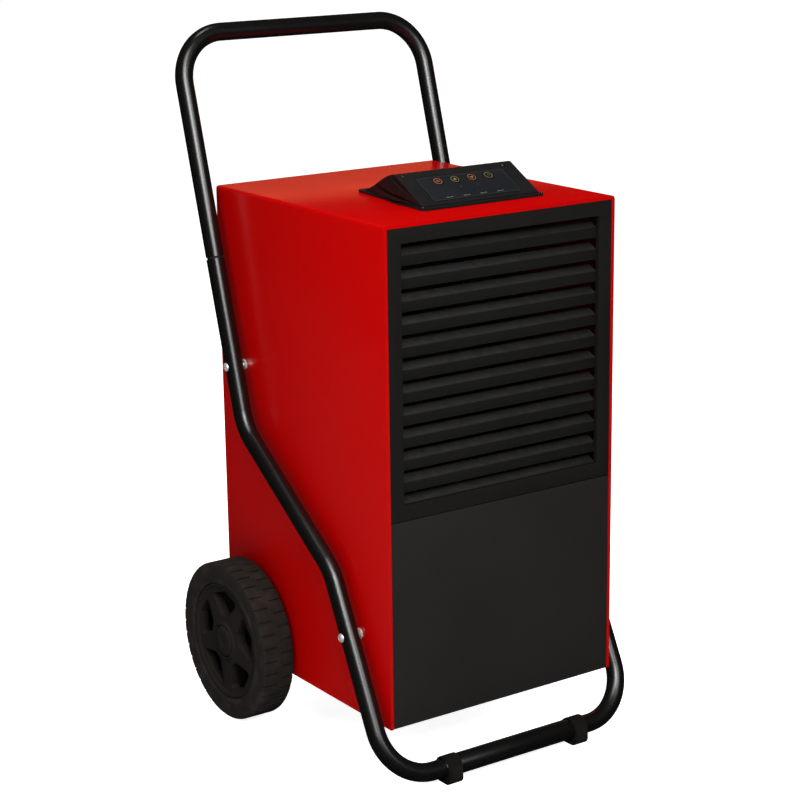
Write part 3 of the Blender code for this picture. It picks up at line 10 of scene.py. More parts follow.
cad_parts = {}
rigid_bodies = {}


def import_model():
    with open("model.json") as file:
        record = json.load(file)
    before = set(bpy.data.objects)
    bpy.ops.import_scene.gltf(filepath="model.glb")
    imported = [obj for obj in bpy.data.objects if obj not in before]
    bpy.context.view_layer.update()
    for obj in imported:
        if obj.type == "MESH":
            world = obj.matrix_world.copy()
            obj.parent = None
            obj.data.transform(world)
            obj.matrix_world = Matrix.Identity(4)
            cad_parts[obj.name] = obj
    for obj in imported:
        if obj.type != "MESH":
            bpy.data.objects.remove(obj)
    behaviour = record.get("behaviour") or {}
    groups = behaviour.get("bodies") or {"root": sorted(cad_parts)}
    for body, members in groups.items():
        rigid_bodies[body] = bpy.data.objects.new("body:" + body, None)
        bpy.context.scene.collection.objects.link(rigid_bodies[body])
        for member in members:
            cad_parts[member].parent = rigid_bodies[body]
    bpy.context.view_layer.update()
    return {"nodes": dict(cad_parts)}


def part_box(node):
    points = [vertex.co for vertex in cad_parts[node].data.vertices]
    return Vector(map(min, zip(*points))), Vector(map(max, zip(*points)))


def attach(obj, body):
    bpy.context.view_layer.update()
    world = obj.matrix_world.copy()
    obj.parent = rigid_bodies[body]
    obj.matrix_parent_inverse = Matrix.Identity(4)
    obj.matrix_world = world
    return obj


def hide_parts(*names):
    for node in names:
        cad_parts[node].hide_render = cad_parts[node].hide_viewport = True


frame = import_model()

MM = 0.001
UP = Vector((0, 0, 1))
SCENE = bpy.context.scene
COVER_LOW, COVER_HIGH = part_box("cabinet_cover")
HALF = COVER_HIGH.x
FRONT, BACK = COVER_LOW.y, COVER_HIGH.y
MIDDLE = (FRONT + BACK) / 2
SHEET = 1.5 * MM
SMOOTH_BELOW = radians(38)
SIDES = ((-1, "left"), (1, "right"))
WHITE = EVEN = (1, 1, 1)
# The CAD material slots, and the looks that share one under a name of their own.
# Each ink's colour, and a faint glow: painted light that lifts the printed marks.
INKS = {
    "orange": ((0.34, 0.085, 0.028), 0.18),
    "olive": ((0.15, 0.115, 0.036), 0.12),
    "rust": ((0.27, 0.09, 0.028), 0.15),
    "pale": ((0.1, 0.088, 0.066), 0.05),
    "grey": ((0.03, 0.03, 0.031), 0),
}


# ---- materials

class Look:
    """A Principled material that takes procedural layers, one call each."""

    def __init__(self, name, colour, roughness, metallic=0, shine=0.5):
        self.material = bpy.data.materials.new(name)
        self.material.use_nodes = True
        self.nodes = self.material.node_tree.nodes
        self.links = self.material.node_tree.links
        self.shader = self.nodes["Principled BSDF"]
        self.value("Base Color", (*colour, 1)).value("Roughness", roughness)
        self.value("Metallic", metallic).value("Specular IOR Level", shine)
        self.colour = None
        self.normal = None
        self.place = self.node("TexCoord").outputs["Object"]

    def value(self, name, value):
        self.shader.inputs[name].default_value = value
        return self

    def node(self, kind, inputs=()):
        """A new node. An input given as a socket is linked, and any other one is set."""
        node = self.nodes.new("ShaderNode" + kind)
        for key, value in dict(inputs).items():
            if isinstance(value, bpy.types.NodeSocket):
                self.links.new(value, node.inputs[key])
            else:
                node.inputs[key].default_value = value
        return node

    def texture(self, kind, scale, stretch=EVEN):
        mapping = self.node("Mapping", {"Vector": self.place, "Scale": stretch})
        return self.node(kind, {"Vector": mapping.outputs["Vector"], "Scale": scale})

    def noise(self, scale, detail=3, stretch=EVEN):
        texture = self.texture("TexNoise", scale, stretch)
        texture.inputs["Detail"].default_value = detail
        return texture.outputs["Fac"]

    def cells(self, scale):
        return self.texture("TexVoronoi", scale).outputs["Color"]

    def wave(self, scale, direction):
        texture = self.texture("TexWave", scale)
        texture.bands_direction = direction
        return texture.outputs["Fac"]

    def split(self, vector):
        return self.node("SeparateXYZ", {"Vector": vector}).outputs

    def between(self, factor, low, high, start=0.35, end=0.65):
        """The factor's span from start to end, stretched over low to high."""
        span = {"From Min": start, "From Max": end, "To Min": low, "To Max": high}
        return self.node("MapRange", {"Value": factor, **span}).outputs["Result"]

    def maths(self, operation, a, b=0):
        """A maths node on two values, each a socket or a plain number."""
        node = self.node("Math", {0: a, 1: b})
        node.operation = operation
        return node.outputs["Value"]

    def product(self, a, b):
        return self.maths("MULTIPLY", a, b)

    def roughen(self, factor, low, high, start=0.35, end=0.65):
        spread = self.between(factor, low, high, start, end)
        self.links.new(spread, self.shader.inputs["Roughness"])
        return self

    def tint(self, factor, colour):
        """Mixes another base colour in where the factor is high."""
        base = self.shader.inputs["Base Color"]
        mix = self.node("Mix")
        mix.data_type = "RGBA"
        if self.colour is None:
            mix.inputs["A"].default_value = base.default_value
        else:
            self.links.new(self.colour, mix.inputs["A"])
        mix.inputs["B"].default_value = (*colour, 1)
        self.links.new(factor, mix.inputs["Factor"])
        self.colour = mix.outputs["Result"]
        self.links.new(self.colour, base)
        return self

    def bump(self, factor, depth, strength=1):
        layer = {"Height": factor, "Distance": depth, "Strength": strength}
        if self.normal is not None:
            layer["Normal"] = self.normal
        self.normal = self.node("Bump", layer).outputs["Normal"]
        self.links.new(self.normal, self.shader.inputs["Normal"])
        return self

    def dust(self, colour, amount, scale=30, thinnest=0.2):
        """A thin layer of dust on faces that look up, broken by noise; laid on thickly, as on the
        louvre flaps, it is painted light on the faces that look up.
        """
        facing_up = self.split(self.node("NewGeometry").outputs["Normal"])["Z"]
        patch = self.between(self.noise(scale, 5), thinnest, 1)
        layer = self.between(facing_up, 0, amount, 0.35, 1)
        return self.tint(self.product(patch, layer), colour)


def powder_coat(name, colour, low, high, grain=2.2e-5, shine=0.25):
    """Sprayed and baked paint: fine orange peel, with a gloss that drifts a little."""
    look = Look(name, colour, low, shine=shine)
    look.bump(look.noise(900, 2), grain).bump(look.noise(60, 1), 4 * grain, 0.5)
    look.roughen(look.noise(7, 4), low, high)
    return look


def moulded(name, colour, low, high, grain=2.5e-5):
    """Moulded plastic with a fine spark-eroded grain and faint flow marks."""
    look = Look(name, colour, low, shine=0.18)
    look.bump(look.noise(2600, 2), grain).bump(look.noise(220, 2), grain, 0.5)
    look.roughen(look.noise(18, 4, (1, 1, 3)), low, high)
    return look


def brushed(name, colour, low, high, stretch=(1, 40, 40), metallic=1):
    """Metal with fine directional scratches and a drifting polish."""
    look = Look(name, colour, low, metallic)
    look.bump(look.noise(45, 3, stretch), 1.2e-5)
    look.roughen(look.noise(28, 5), low, high)
    return look


def spangled(name):
    """Hot-dip galvanised sheet: crystal patches of slightly different grey."""
    look = Look(name, (0.5, 0.52, 0.53), 0.4, 0.85)
    crystals = look.cells(95)
    look.tint(look.between(crystals, 0, 0.55, 0.1, 0.9), (0.66, 0.68, 0.7))
    look.roughen(crystals, 0.3, 0.52, 0.1, 0.9)
    look.bump(look.noise(240, 3), 1.5e-5)
    return look


def make_looks():
    looks = {}
    looks["red_paint"] = cover_look()
    looks["black_paint"] = black_coat("black_powder_coat", (0.0063, 0.006, 0.0056), 0.06)
    # Painted light: a lighter copy of the black coat, so that the lower panel looks brighter than
    # the frame above it.
    looks["panel_paint_with_painted_light"] = black_coat("black_panel_coat_with_painted_light", (0.0108, 0.01, 0.009), 0.06)
    # A slightly darker copy of the black coat, with its up-facing layer laid on thickly: painted
    # light that brightens the louvre flaps.
    looks["louvre_paint"] = black_coat("black_louvre_coat_lit_flaps", (0.0056, 0.0055, 0.005), 0.75)
    tube = powder_coat("gloss_black_tube", (0.0024, 0.0022, 0.002), 0.23, 0.28, 0.4e-5, 0.5)
    looks["tube_paint"] = tube.dust((0.03, 0.026, 0.022), 0.05, 60)
    housing = moulded("housing_plastic", (0.0068, 0.0066, 0.0064), 0.42, 0.52)
    looks["black_plastic"] = housing.dust((0.03, 0.028, 0.025), 0.08)
    wheel = moulded("wheel_plastic", (0.011, 0.0092, 0.0078), 0.46, 0.6, 4e-5)
    looks["wheel_plastic"] = wheel.dust((0.035, 0.03, 0.025), 0.12)
    looks["tyre"] = rubber_look("tyre_rubber", (0.0118, 0.0096, 0.008), 0.68, 0.82, 0.25)
    looks["rubber"] = rubber_look("foot_rubber", (0.0055, 0.005, 0.0046), 0.6, 0.75, 0.12)
    looks["cord"] = rubber_look("cord_rubber", (0.009, 0.0085, 0.008), 0.42, 0.55, 0.05)
    looks["galvanised"] = spangled("galvanised_sheet")
    looks["bright_steel"] = brushed("zinc_plate", (0.74, 0.74, 0.72), 0.24, 0.38, metallic=0.72)
    looks["dull_steel"] = brushed("dull_zinc_plate", (0.2, 0.195, 0.185), 0.42, 0.55)
    looks["pin_brass"] = brushed("nickel_plate", (0.62, 0.58, 0.5), 0.18, 0.3)
    grain = (1, 1, 40)
    looks["aluminium"] = brushed("fin_aluminium", (0.74, 0.75, 0.76), 0.3, 0.48, grain, 0.95)
    copper = brushed("drawn_copper", (0.62, 0.27, 0.15), 0.24, 0.42, (3, 3, 3))
    tarnish = copper.between(copper.noise(60, 5), 0, 0.55)
    looks["copper"] = copper.tint(tarnish, (0.28, 0.11, 0.06))
    tank = moulded("tank_plastic", (0.62, 0.66, 0.68), 0.3, 0.42)
    looks["tank_plastic"] = tank.value("Transmission Weight", 0.35).value("IOR", 1.45)
    looks["float"] = moulded("float_foam", (0.74, 0.74, 0.7), 0.55, 0.7, 8e-5)
    looks["filter_net"] = net_look()
    looks["overlay_film"] = overlay_look()
    key = Look("key_film", (0.0068, 0.007, 0.0078), 0.34, shine=0.2)
    key.bump(key.noise(1800, 2), 1.2e-5).roughen(key.noise(90, 3), 0.3, 0.4)
    looks["button_film"] = key
    looks["circuit_board"] = board_look()
    for word, (colour, glow) in INKS.items():
        looks[f"print_{word}"] = print_look(f"ink_{word}", colour, glow)
    return looks


def black_coat(name, colour, dust):
    look = powder_coat(name, colour, 0.5, 0.62, 2.2e-5, 0.16)
    lighter = tuple(1.25 * c for c in colour)
    look.tint(look.between(look.noise(5, 5), 0, 0.6), lighter)
    # The up-facing layer is dust where it is thin, and painted light where it is thick, as on the
    # louvre flaps.
    return look.dust((0.028, 0.027, 0.025), dust, 90, 0.6)


def cover_look():
    """Red paint on the sheet's outside, with its inner faces darkened to a dim red: painted shade
    for the unlit space within the cabinet.
    """
    look = powder_coat("red_powder_coat", (0.306, 0.0004, 0.0003), 0.2, 0.26, 0.8e-5, 0.09)
    look.tint(look.between(look.noise(3, 4), 0, 0.25), (0.291, 0.0004, 0.0003))
    at = look.split(look.place)
    skin = SHEET - 0.02 * MM
    within_sides = look.maths("LESS_THAN", look.maths("ABSOLUTE", at["X"]), HALF - skin)
    below_top = look.maths("LESS_THAN", at["Z"], COVER_HIGH.z - skin)
    behind_front = look.maths("GREATER_THAN", at["Y"], FRONT + skin)
    inner_shade = look.product(look.product(within_sides, below_top), behind_front)
    # Painted shade: the inner faces of the sheet are darkened to a dim red.
    return look.tint(inner_shade, (0.06, 0.004, 0.002))


def rubber_look(name, colour, low, high, dust):
    look = Look(name, colour, low, shine=0.15)
    look.bump(look.noise(700, 4), 6e-5).bump(look.noise(90, 3), 8e-5, 0.6)
    look.roughen(look.noise(40, 4), low, high)
    scuffs = look.between(look.noise(55, 6), 0, dust, 0.48, 0.72)
    return look.tint(scuffs, (0.04, 0.034, 0.029))


def net_look():
    look = Look("filter_net", (0.03, 0.03, 0.032), 0.75)
    weave = look.product(look.wave(260, "X"), look.wave(260, "Z"))
    look.bump(weave, 4e-4)
    look.tint(look.between(weave, 0, 0.7, 0.2, 0.8), (0.1, 0.1, 0.105))
    look.tint(look.between(look.noise(22, 6), 0, 0.35, 0.45, 0.75), (0.16, 0.145, 0.12))
    return look


def overlay_look():
    look = Look("overlay_film", (0.0078, 0.0083, 0.0096), 0.36, shine=0.2)
    look.bump(look.noise(2200, 2), 1.5e-5)
    look.roughen(look.noise(30, 3), 0.32, 0.42)
    look.tint(look.between(look.noise(14, 5), 0, 0.5), (0.011, 0.0115, 0.013))
    return look


def board_look():
    look = Look("board_laminate", (0.01, 0.085, 0.03), 0.35)
    tracks = look.product(look.wave(90, "X"), look.noise(70, 2))
    look.tint(look.between(tracks, 0, 0.7, 0.25, 0.35), (0.018, 0.14, 0.05))
    return look.bump(tracks, 4e-5)


def print_look(name, colour, glow):
    look = Look(name, colour, 0.5)
    look.tint(look.between(look.noise(600, 4), 0, 0.5), tuple(0.55 * c for c in colour))
    # The glow is painted light: printed ink gives no light of its own.
    return look.value("Emission Color", (*colour, 1)).value("Emission Strength", glow)


LOOKS = make_looks()


# ---- modelling helpers

def new(name, data):
    obj = bpy.data.objects.new(name, data)
    SCENE.collection.objects.link(obj)
    return obj


def from_bmesh(name, bm):
    bmesh.ops.recalc_face_normals(bm, faces=bm.faces)
    mesh = bpy.data.meshes.new(name)
    bm.to_mesh(mesh)
    bm.free()
    return new(name, mesh)


def axes(x, y, z):
    """The rotation whose columns are these three directions."""
    return Matrix((x, y, z)).transposed()


def aimed(place, aim):
    """A place whose local Z points along aim, with local X as near to up as it can be."""
    z = Vector(aim).normalized()
    x = UP if abs(z.z) < 0.9 else Vector((1, 0, 0))
    x = (x - z * x.dot(z)).normalized()
    return Matrix.Translation(place) @ axes(x, z.cross(x), z).to_4x4()


def evaluated(obj):
    depsgraph = bpy.context.evaluated_depsgraph_get()
    return bpy.data.meshes.new_from_object(obj.evaluated_get(depsgraph))


def settle(obj):
    """Applies all modifiers, and removes the tools that Booleans used."""
    mesh = evaluated(obj)
    tools = [m.object for m in obj.modifiers if m.type == "BOOLEAN"]
    obj.modifiers.clear()
    obj.data = mesh
    for tool in tools:
        bpy.data.objects.remove(tool, do_unlink=True)
    return obj


def boolean(obj, tools, operation="DIFFERENCE"):
    for tool in tools:
        modifier = obj.modifiers.new(tool.name, "BOOLEAN")
        modifier.operation = operation
        modifier.solver = "EXACT"
        modifier.object = tool
    return settle(obj)


def bevel(obj, width, segments, angle):
    modifier = obj.modifiers.new("rounded", "BEVEL")
    modifier.width = width
    modifier.segments = segments
    modifier.limit_method = "ANGLE"
    modifier.angle_limit = radians(angle)
    return modifier


def round_edges(obj, width, segments=3, angle=35):
    bevel(obj, width, segments, angle)
    return settle(obj)


def smooth(obj):
    obj.data.shade_smooth()
    obj.data.set_sharp_from_angle(angle=SMOOTH_BELOW)


def in_mm(points):
    return [tuple(value * MM for value in point) for point in points]


def dome(centre, reach, base, rise, steps):
    """A quarter ellipse in a profile, from its crown down to its widest point."""
    turns = [pi / 2 * i / steps for i in range(steps + 1)]
    return [(centre + reach * sin(t), base + rise * cos(t)) for t in turns]


def dress(obj, look, stands_for=None, body="chassis"):
    """Gives a piece its material, its body and the node it stands for."""
    obj.data.materials.clear()
    obj.data.materials.append(LOOKS[look].material)
    smooth(obj)
    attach(obj, body)
    if stands_for:
        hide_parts(stands_for)


def block(name, low, high):
    return blocks(name, [(low, high)])


def blocks(name, spans):
    bm = bmesh.new()
    for low, high in spans:
        low, high = Vector(low), Vector(high)
        made = bmesh.ops.create_cube(bm, size=1)["verts"]
        bmesh.ops.scale(bm, vec=high - low, verts=made)
        bmesh.ops.translate(bm, vec=(low + high) / 2, verts=made)
    return from_bmesh(name, bm)


def turned(name, profile, place=(0, 0, 0), aim=(0, 0, 1), steps=64, ring=False):
    """A body turned about its axis from (radius, height) points down its outer side."""
    bm = bmesh.new()
    rings = []
    for radius, height in profile:
        count = 1 if radius < 1e-7 else steps
        angles = (tau * i / steps for i in range(count))
        spots = [(radius * cos(a), radius * sin(a), height) for a in angles]
        rings.append([bm.verts.new(spot) for spot in spots])
    following = rings[1:] + rings[:1] if ring else rings[1:]
    for upper, lower in zip(rings, following):
        for i in range(steps):
            j = (i + 1) % steps
            around = [upper[i % len(upper)], upper[j % len(upper)]]
            around += [lower[j % len(lower)], lower[i % len(lower)]]
            corners = list(dict.fromkeys(around))
            if len(corners) > 2:
                bm.faces.new(corners)
    obj = from_bmesh(name, bm)
    obj.matrix_world = aimed(place, aim)
    return obj


def bar(name, radius, start, end, steps=32):
    start, end = Vector(start), Vector(end)
    length = (end - start).length
    profile = [(0, length), (radius, length), (radius, 0), (0, 0)]
    return turned(name, profile, start, end - start, steps)


def drawn(name, lines, closed, **settings):
    """The mesh of a curve through points, with the curve's own settings."""
    curve = bpy.data.curves.new(name, "CURVE")
    for key, value in settings.items():
        setattr(curve, key, value)
    for line in lines:
        spline = curve.splines.new("POLY")
        spline.points.add(len(line) - 1)
        for point, place in zip(spline.points, line):
            point.co = (*place, 0, 1) if len(place) == 2 else (*place, 1)
        spline.use_cyclic_u = closed
    holder = new(name + "_curve", curve)
    mesh = evaluated(holder)
    bpy.data.objects.remove(holder, do_unlink=True)
    bm = bmesh.new()
    bm.from_mesh(mesh)
    bmesh.ops.remove_doubles(bm, verts=bm.verts, dist=1e-6)
    return from_bmesh(name, bm)


def pipe(name, path, radius, resolution=8):
    look = {"bevel_depth": radius, "bevel_resolution": resolution, "use_fill_caps": True}
    return drawn(name, [path], False, dimensions="3D", **look)


def plate(name, outlines, low, high, plane="XY"):
    """A flat outline, with any further outlines as holes, between two levels of an axis."""
    flat = {"dimensions": "2D", "fill_mode": "BOTH", "extrude": (high - low) / 2}
    obj = drawn(name, outlines, True, **flat)
    middle = (low + high) / 2
    if plane == "XY":
        obj.matrix_world = Matrix.Translation((0, 0, middle))
    else:
        turn = Matrix(((0, 0, 1), (1, 0, 0), (0, 1, 0))).to_4x4()
        obj.matrix_world = Matrix.Translation((middle, 0, 0)) @ turn
    return obj


def circle(radius, centre=(0, 0), count=64, start=0, sweep=tau):
    steps = count if sweep == tau else count - 1
    angles = [start + sweep * i / steps for i in range(count)]
    return [(centre[0] + radius * cos(a), centre[1] + radius * sin(a)) for a in angles]


def rounded_path(corners, radius, steps=12):
    """The line through the corners, with each inner corner turned into an arc."""
    corners = [Vector(corner) for corner in corners]
    path = [corners[0]]
    for before, corner, after in zip(corners, corners[1:], corners[2:]):
        back = (before - corner).normalized()
        ahead = (after - corner).normalized()
        half = back.angle(ahead) / 2
        start = corner + back * (radius / tan(half))
        centre = corner + (back + ahead).normalized() * (radius / sin(half))
        spoke = start - centre
        for i in range(steps + 1):
            turn = (pi - 2 * half) * i / steps
            path.append(centre + spoke * cos(turn) - back * radius * sin(turn))
    path.append(corners[-1])
    return path


def rounded_outline(corners, radius, steps=8):
    count = len(corners)
    outline = []
    for i in range(count):
        trio = [corners[i - 1], corners[i], corners[(i + 1) % count]]
        arc = rounded_path([(u, v, 0) for u, v in trio], radius, steps)[1:-1]
        outline += [(point.x, point.y) for point in arc]
    return outline


def join(name, objects):
    """Several finished pieces of one material in one mesh, in world coordinates."""
    bpy.context.view_layer.update()
    bm = bmesh.new()
    for obj in objects:
        mesh = obj.data.copy()
        mesh.transform(obj.matrix_world)
        bm.from_mesh(mesh)
        bpy.data.meshes.remove(mesh)
        bpy.data.objects.remove(obj, do_unlink=True)
    mesh = bpy.data.meshes.new(name)
    bm.to_mesh(mesh)
    bm.free()
    return new(name, mesh)


# ---- cabinet

FOLD_RADIUS = 5 * MM
EDGE_RETURN = 5 * MM


def cover():
    """The folded red shell, with soft folds along the top and a return round the front."""
    low, high = COVER_LOW.copy(), COVER_HIGH.copy()
    shell = block("cover_shell", low, high)
    weight = shell.data.attributes.new("bevel_weight_edge", "FLOAT", "EDGE")
    for edge in shell.data.edges:
        a, b = (shell.data.vertices[i].co for i in edge.vertices)
        lengthwise = min(a.z, b.z) > high.z - SHEET and abs(a.y - b.y) > SHEET
        weight.data[edge.index].value = 1 if lengthwise else 0
    bevel(shell, FOLD_RADIUS, 10, 0).limit_method = "WEIGHT"
    settle(shell)
    room = block(
        "room",
        (low.x + SHEET, low.y + SHEET, low.z - 0.01),
        (high.x - SHEET, high.y + 0.01, high.z - SHEET),
    )
    mouth = block(
        "mouth",
        (low.x + EDGE_RETURN, low.y - 0.01, low.z - 0.01),
        (high.x - EDGE_RETURN, low.y + 0.01, high.z - EDGE_RETURN),
    )
    boolean(shell, [room, mouth])
    round_edges(shell, 0.5 * MM, 2)
    dress(shell, "red_paint", "cabinet_cover")


def pan(name, node, wall):
    """A front panel with its edges returned inwards; the callers round them softly."""
    low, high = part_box(node)
    high.y = low.y + wall
    panel = block(name, low, high)
    room = block(
        name + "_room",
        (low.x + SHEET, low.y + SHEET, low.z + SHEET),
        (high.x - SHEET, high.y + 0.01, high.z - SHEET),
    )
    return boolean(panel, [room])


def lower_panel():
    # Its coat is lighter than the frame's: painted light low on the front.
    panel = round_edges(pan("lower_panel", "lower_front_panel", 7 * MM), 0.9 * MM, 3)
    dress(panel, "panel_paint_with_painted_light", "lower_front_panel")


REAR_SCREWS = 6
LOUVRE_HALF = 160 * MM
LOUVRE_BOTTOM = 389 * MM
LOUVRE_TOP = 730 * MM
LOUVRE_PITCH = 29.6 * MM
LOUVRE_COUNT = 11
LOUVRE_RECESS = 7 * MM
LIP_HEIGHT = 13.4 * MM
FLAP = (14.5 * MM, 7 * MM)


def slat(name, low_z, high_z):
    """One strip: an upright lip with a flap folded in and up from its top edge."""
    face = FRONT + LOUVRE_RECESS + SHEET / 2
    flap_y, flap_z = FLAP
    corners = [(0, face, low_z), (0, face, high_z), (0, face + flap_y, high_z + flap_z)]
    spine = rounded_path(corners, 1.6 * MM, 5)
    left, right = [], []
    for i, point in enumerate(spine):
        ahead = spine[min(i + 1, len(spine) - 1)] - spine[max(i - 1, 0)]
        side = Vector((0, -ahead.z, ahead.y)).normalized() * (SHEET / 2)
        left.append((point.y + side.y, point.z + side.z))
        right.append((point.y - side.y, point.z - side.z))
    reach = LOUVRE_HALF + SHEET / 2
    strip = plate(name, [left + right[::-1]], -reach, reach, "YZ")
    return round_edges(strip, 0.35 * MM, 2, 50)


def louvres():
    panel = pan("louvre_frame", "louvre_panel", LOUVRE_RECESS)
    rim = block(
        "rim",
        (-LOUVRE_HALF - SHEET, FRONT + 0.2 * MM, LOUVRE_BOTTOM - SHEET),
        (LOUVRE_HALF + SHEET, FRONT + LOUVRE_RECESS + SHEET, LOUVRE_TOP + SHEET),
    )
    opening = block(
        "opening",
        (-LOUVRE_HALF, FRONT - 0.01, LOUVRE_BOTTOM),
        (LOUVRE_HALF, FRONT + 0.03, LOUVRE_TOP),
    )
    boolean(panel, [rim], "UNION")
    boolean(panel, [opening])
    round_edges(panel, 0.9 * MM, 3)
    dress(panel, "black_paint", "louvre_panel")
    strips = []
    for i in range(LOUVRE_COUNT):
        top = LOUVRE_TOP - 16.5 * MM - i * LOUVRE_PITCH
        strips.append(slat(f"slat_{i}", top - LIP_HEIGHT, top))
    strips.append(slat("slat_low", LOUVRE_BOTTOM - SHEET, LOUVRE_BOTTOM + 0.3 * MM))
    dress(join("louvre_slats", strips), "louvre_paint")


def rear():
    """The back sheet, with its two openings softened and a row of screws down each side."""
    carried("rear_panel", "black_paint", 0.35)
    low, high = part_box("rear_panel")
    first_z, last_z = low.z + 22 * MM, high.z - 22 * MM
    screws = []
    for side in (-1, 1):
        for i in range(REAR_SCREWS):
            z = first_z + i * (last_z - first_z) / (REAR_SCREWS - 1)
            spot = (side * (high.x - 9 * MM), high.y, z)
            screws.append(pan_screw(f"rear_screw_{side}_{i}", spot, (0, 1, 0), 3.2 * MM))
    dress(join("rear_screws", screws), "bright_steel")


def carried(name, look, softened=0):
    """A CAD node that stays as it is, with its material and with edges softened by mm."""
    node = frame["nodes"][name]
    node.data.materials.clear()
    node.data.materials.append(LOOKS[look].material)
    smooth(node)
    if softened:
        bevel(node, softened * MM, 2, 50)


# ---- fasteners

def pan_screw(name, place, aim, radius):
    """A domed head with a cross recess."""
    crown = 0.75 * radius
    profile = dome(0, radius, 0.25 * radius, 0.5 * radius, 7) + [(radius, 0), (0, 0)]
    head = turned(name, profile, place, aim, 32)
    long, short, deep = 0.58 * radius, 0.14 * radius, 0.35 * radius
    tools = []
    for i, size in enumerate((Vector((long, short, deep)), Vector((short, long, deep)))):
        tool = block(f"{name}_slot_{i}", -size, size)
        tool.matrix_world = aimed(place, aim) @ Matrix.Translation((0, 0, crown))
        tools.append(tool)
    return boolean(head, tools)


def button_bolt(name, node, side):
    """A domed socket-head bolt on its washer stack."""
    low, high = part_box(node)
    centre = (low + high) / 2
    radius = (high.z - low.z) / 2
    rise, rim, shank, length = 3.2 * MM, 3.4 * MM, 3 * MM, 40 * MM
    profile = dome(0, radius, -rise, rise, 8)
    profile += [(radius, -rim), (shank, -rim), (shank, -length), (0, -length)]
    place = (high.x if side > 0 else low.x, centre.y, centre.z)
    bolt = turned(name, profile, place, (side, 0, 0), 40)
    hexagon = in_mm([(0, 1), (2.3, 1), (2.3, -2), (0, -2.6)])
    boolean(bolt, [turned(name + "_socket", hexagon, place, (side, 0, 0), 6)])
    dress(bolt, "bright_steel", node)


# ---- controls

HOUSING_LOW, HOUSING_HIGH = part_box("control_housing")
HOUSING_X = (HOUSING_LOW.x + HOUSING_HIGH.x) / 2
WEDGE_FRONT = HOUSING_LOW.y + 9 * MM
WEDGE_REAR = HOUSING_HIGH.y - 5 * MM
WEDGE_LIP = HOUSING_LOW.z + 4.7 * MM
RIDGE_Y = MIDDLE - 80 * MM
RIDGE_Z = 793.5 * MM
RIDGE_HALF = 95 * MM
REAR_HALF = 72 * MM
SLOPE = atan2(RIDGE_Z - WEDGE_LIP, RIDGE_Y - WEDGE_FRONT)
OUTWARD = Vector((0, -sin(SLOPE), cos(SLOPE)))
BUTTON_RADIUS = 7.5 * MM
BUTTON_S = 45.5 * MM
BUTTONS = ("power", "humidity", "fan_speed", "timer")
HOLE_RADIUS = 8 * MM
PRINT = (0.3 * MM, 0.36 * MM)


def on_slope(x, s, n=0):
    """A point of the sloped face: across, up the slope from its foot, and out of it."""
    y = WEDGE_FRONT + s * cos(SLOPE) - n * sin(SLOPE)
    z = WEDGE_LIP + s * sin(SLOPE) + n * cos(SLOPE)
    return Vector((HOUSING_X + x, y, z))


def lay_on_slope(obj):
    """Turns a piece drawn in plan, x across and y up the slope, onto the sloped face."""
    turn = Matrix.Rotation(SLOPE, 4, "X")
    obj.matrix_world = Matrix.Translation(on_slope(0, 0)) @ turn @ obj.matrix_world
    return obj


def button_x(index):
    return (index - 1.5) * 27.5 * MM


def wedge(name, bottom, inset=0):
    """The housing's body, narrower towards the rear, its back eased down to the cabinet."""
    drop = inset / cos(SLOPE)
    outline = [
        (WEDGE_FRONT + inset, bottom),
        (WEDGE_FRONT + inset, WEDGE_LIP + inset * tan(SLOPE) - drop),
        (RIDGE_Y, RIDGE_Z - drop),
    ]
    crest, foot_z = RIDGE_Y + 4 * MM, HOUSING_LOW.z + 1.7 * MM - inset
    steps = 28
    for i in range(steps + 1):
        t = i / steps
        height = ((1 + cos(pi * t)) / 2 + 1 - t) / 2
        y = crest + (WEDGE_REAR - inset - crest) * t
        outline.append((y, foot_z + (RIDGE_Z - drop - foot_z) * height))
    outline.append((WEDGE_REAR - inset, bottom))
    obj = plate(name, [outline], -1, 1, "YZ")
    mesh = obj.data
    mesh.transform(obj.matrix_world)
    obj.matrix_world = Matrix.Identity(4)
    bm = bmesh.new()
    bm.from_mesh(mesh)
    everything = bm.verts[:] + bm.edges[:] + bm.faces[:]
    bmesh.ops.bisect_plane(
        bm, geom=everything, plane_co=(0, RIDGE_Y, 0), plane_no=(0, 1, 0), dist=1e-6
    )
    for vertex in bm.verts:
        along = max(0, (vertex.co.y - RIDGE_Y) / (WEDGE_REAR - RIDGE_Y))
        half = RIDGE_HALF + (REAR_HALF - RIDGE_HALF) * along - inset
        vertex.co.x = HOUSING_X + copysign(half, vertex.co.x)
    bmesh.ops.dissolve_limit(bm, angle_limit=radians(0.5), verts=bm.verts, edges=bm.edges)
    bm.to_mesh(mesh)
    bm.free()
    return obj


def slope_plate(name, corners, radius, low, high, holes=()):
    outline = rounded_outline(corners, radius, 8)
    return lay_on_slope(plate(name, [outline, *holes], low, high))


def rectangle(half_x, low_y, high_y):
    return [(-half_x, low_y), (half_x, low_y), (half_x, high_y), (-half_x, high_y)]


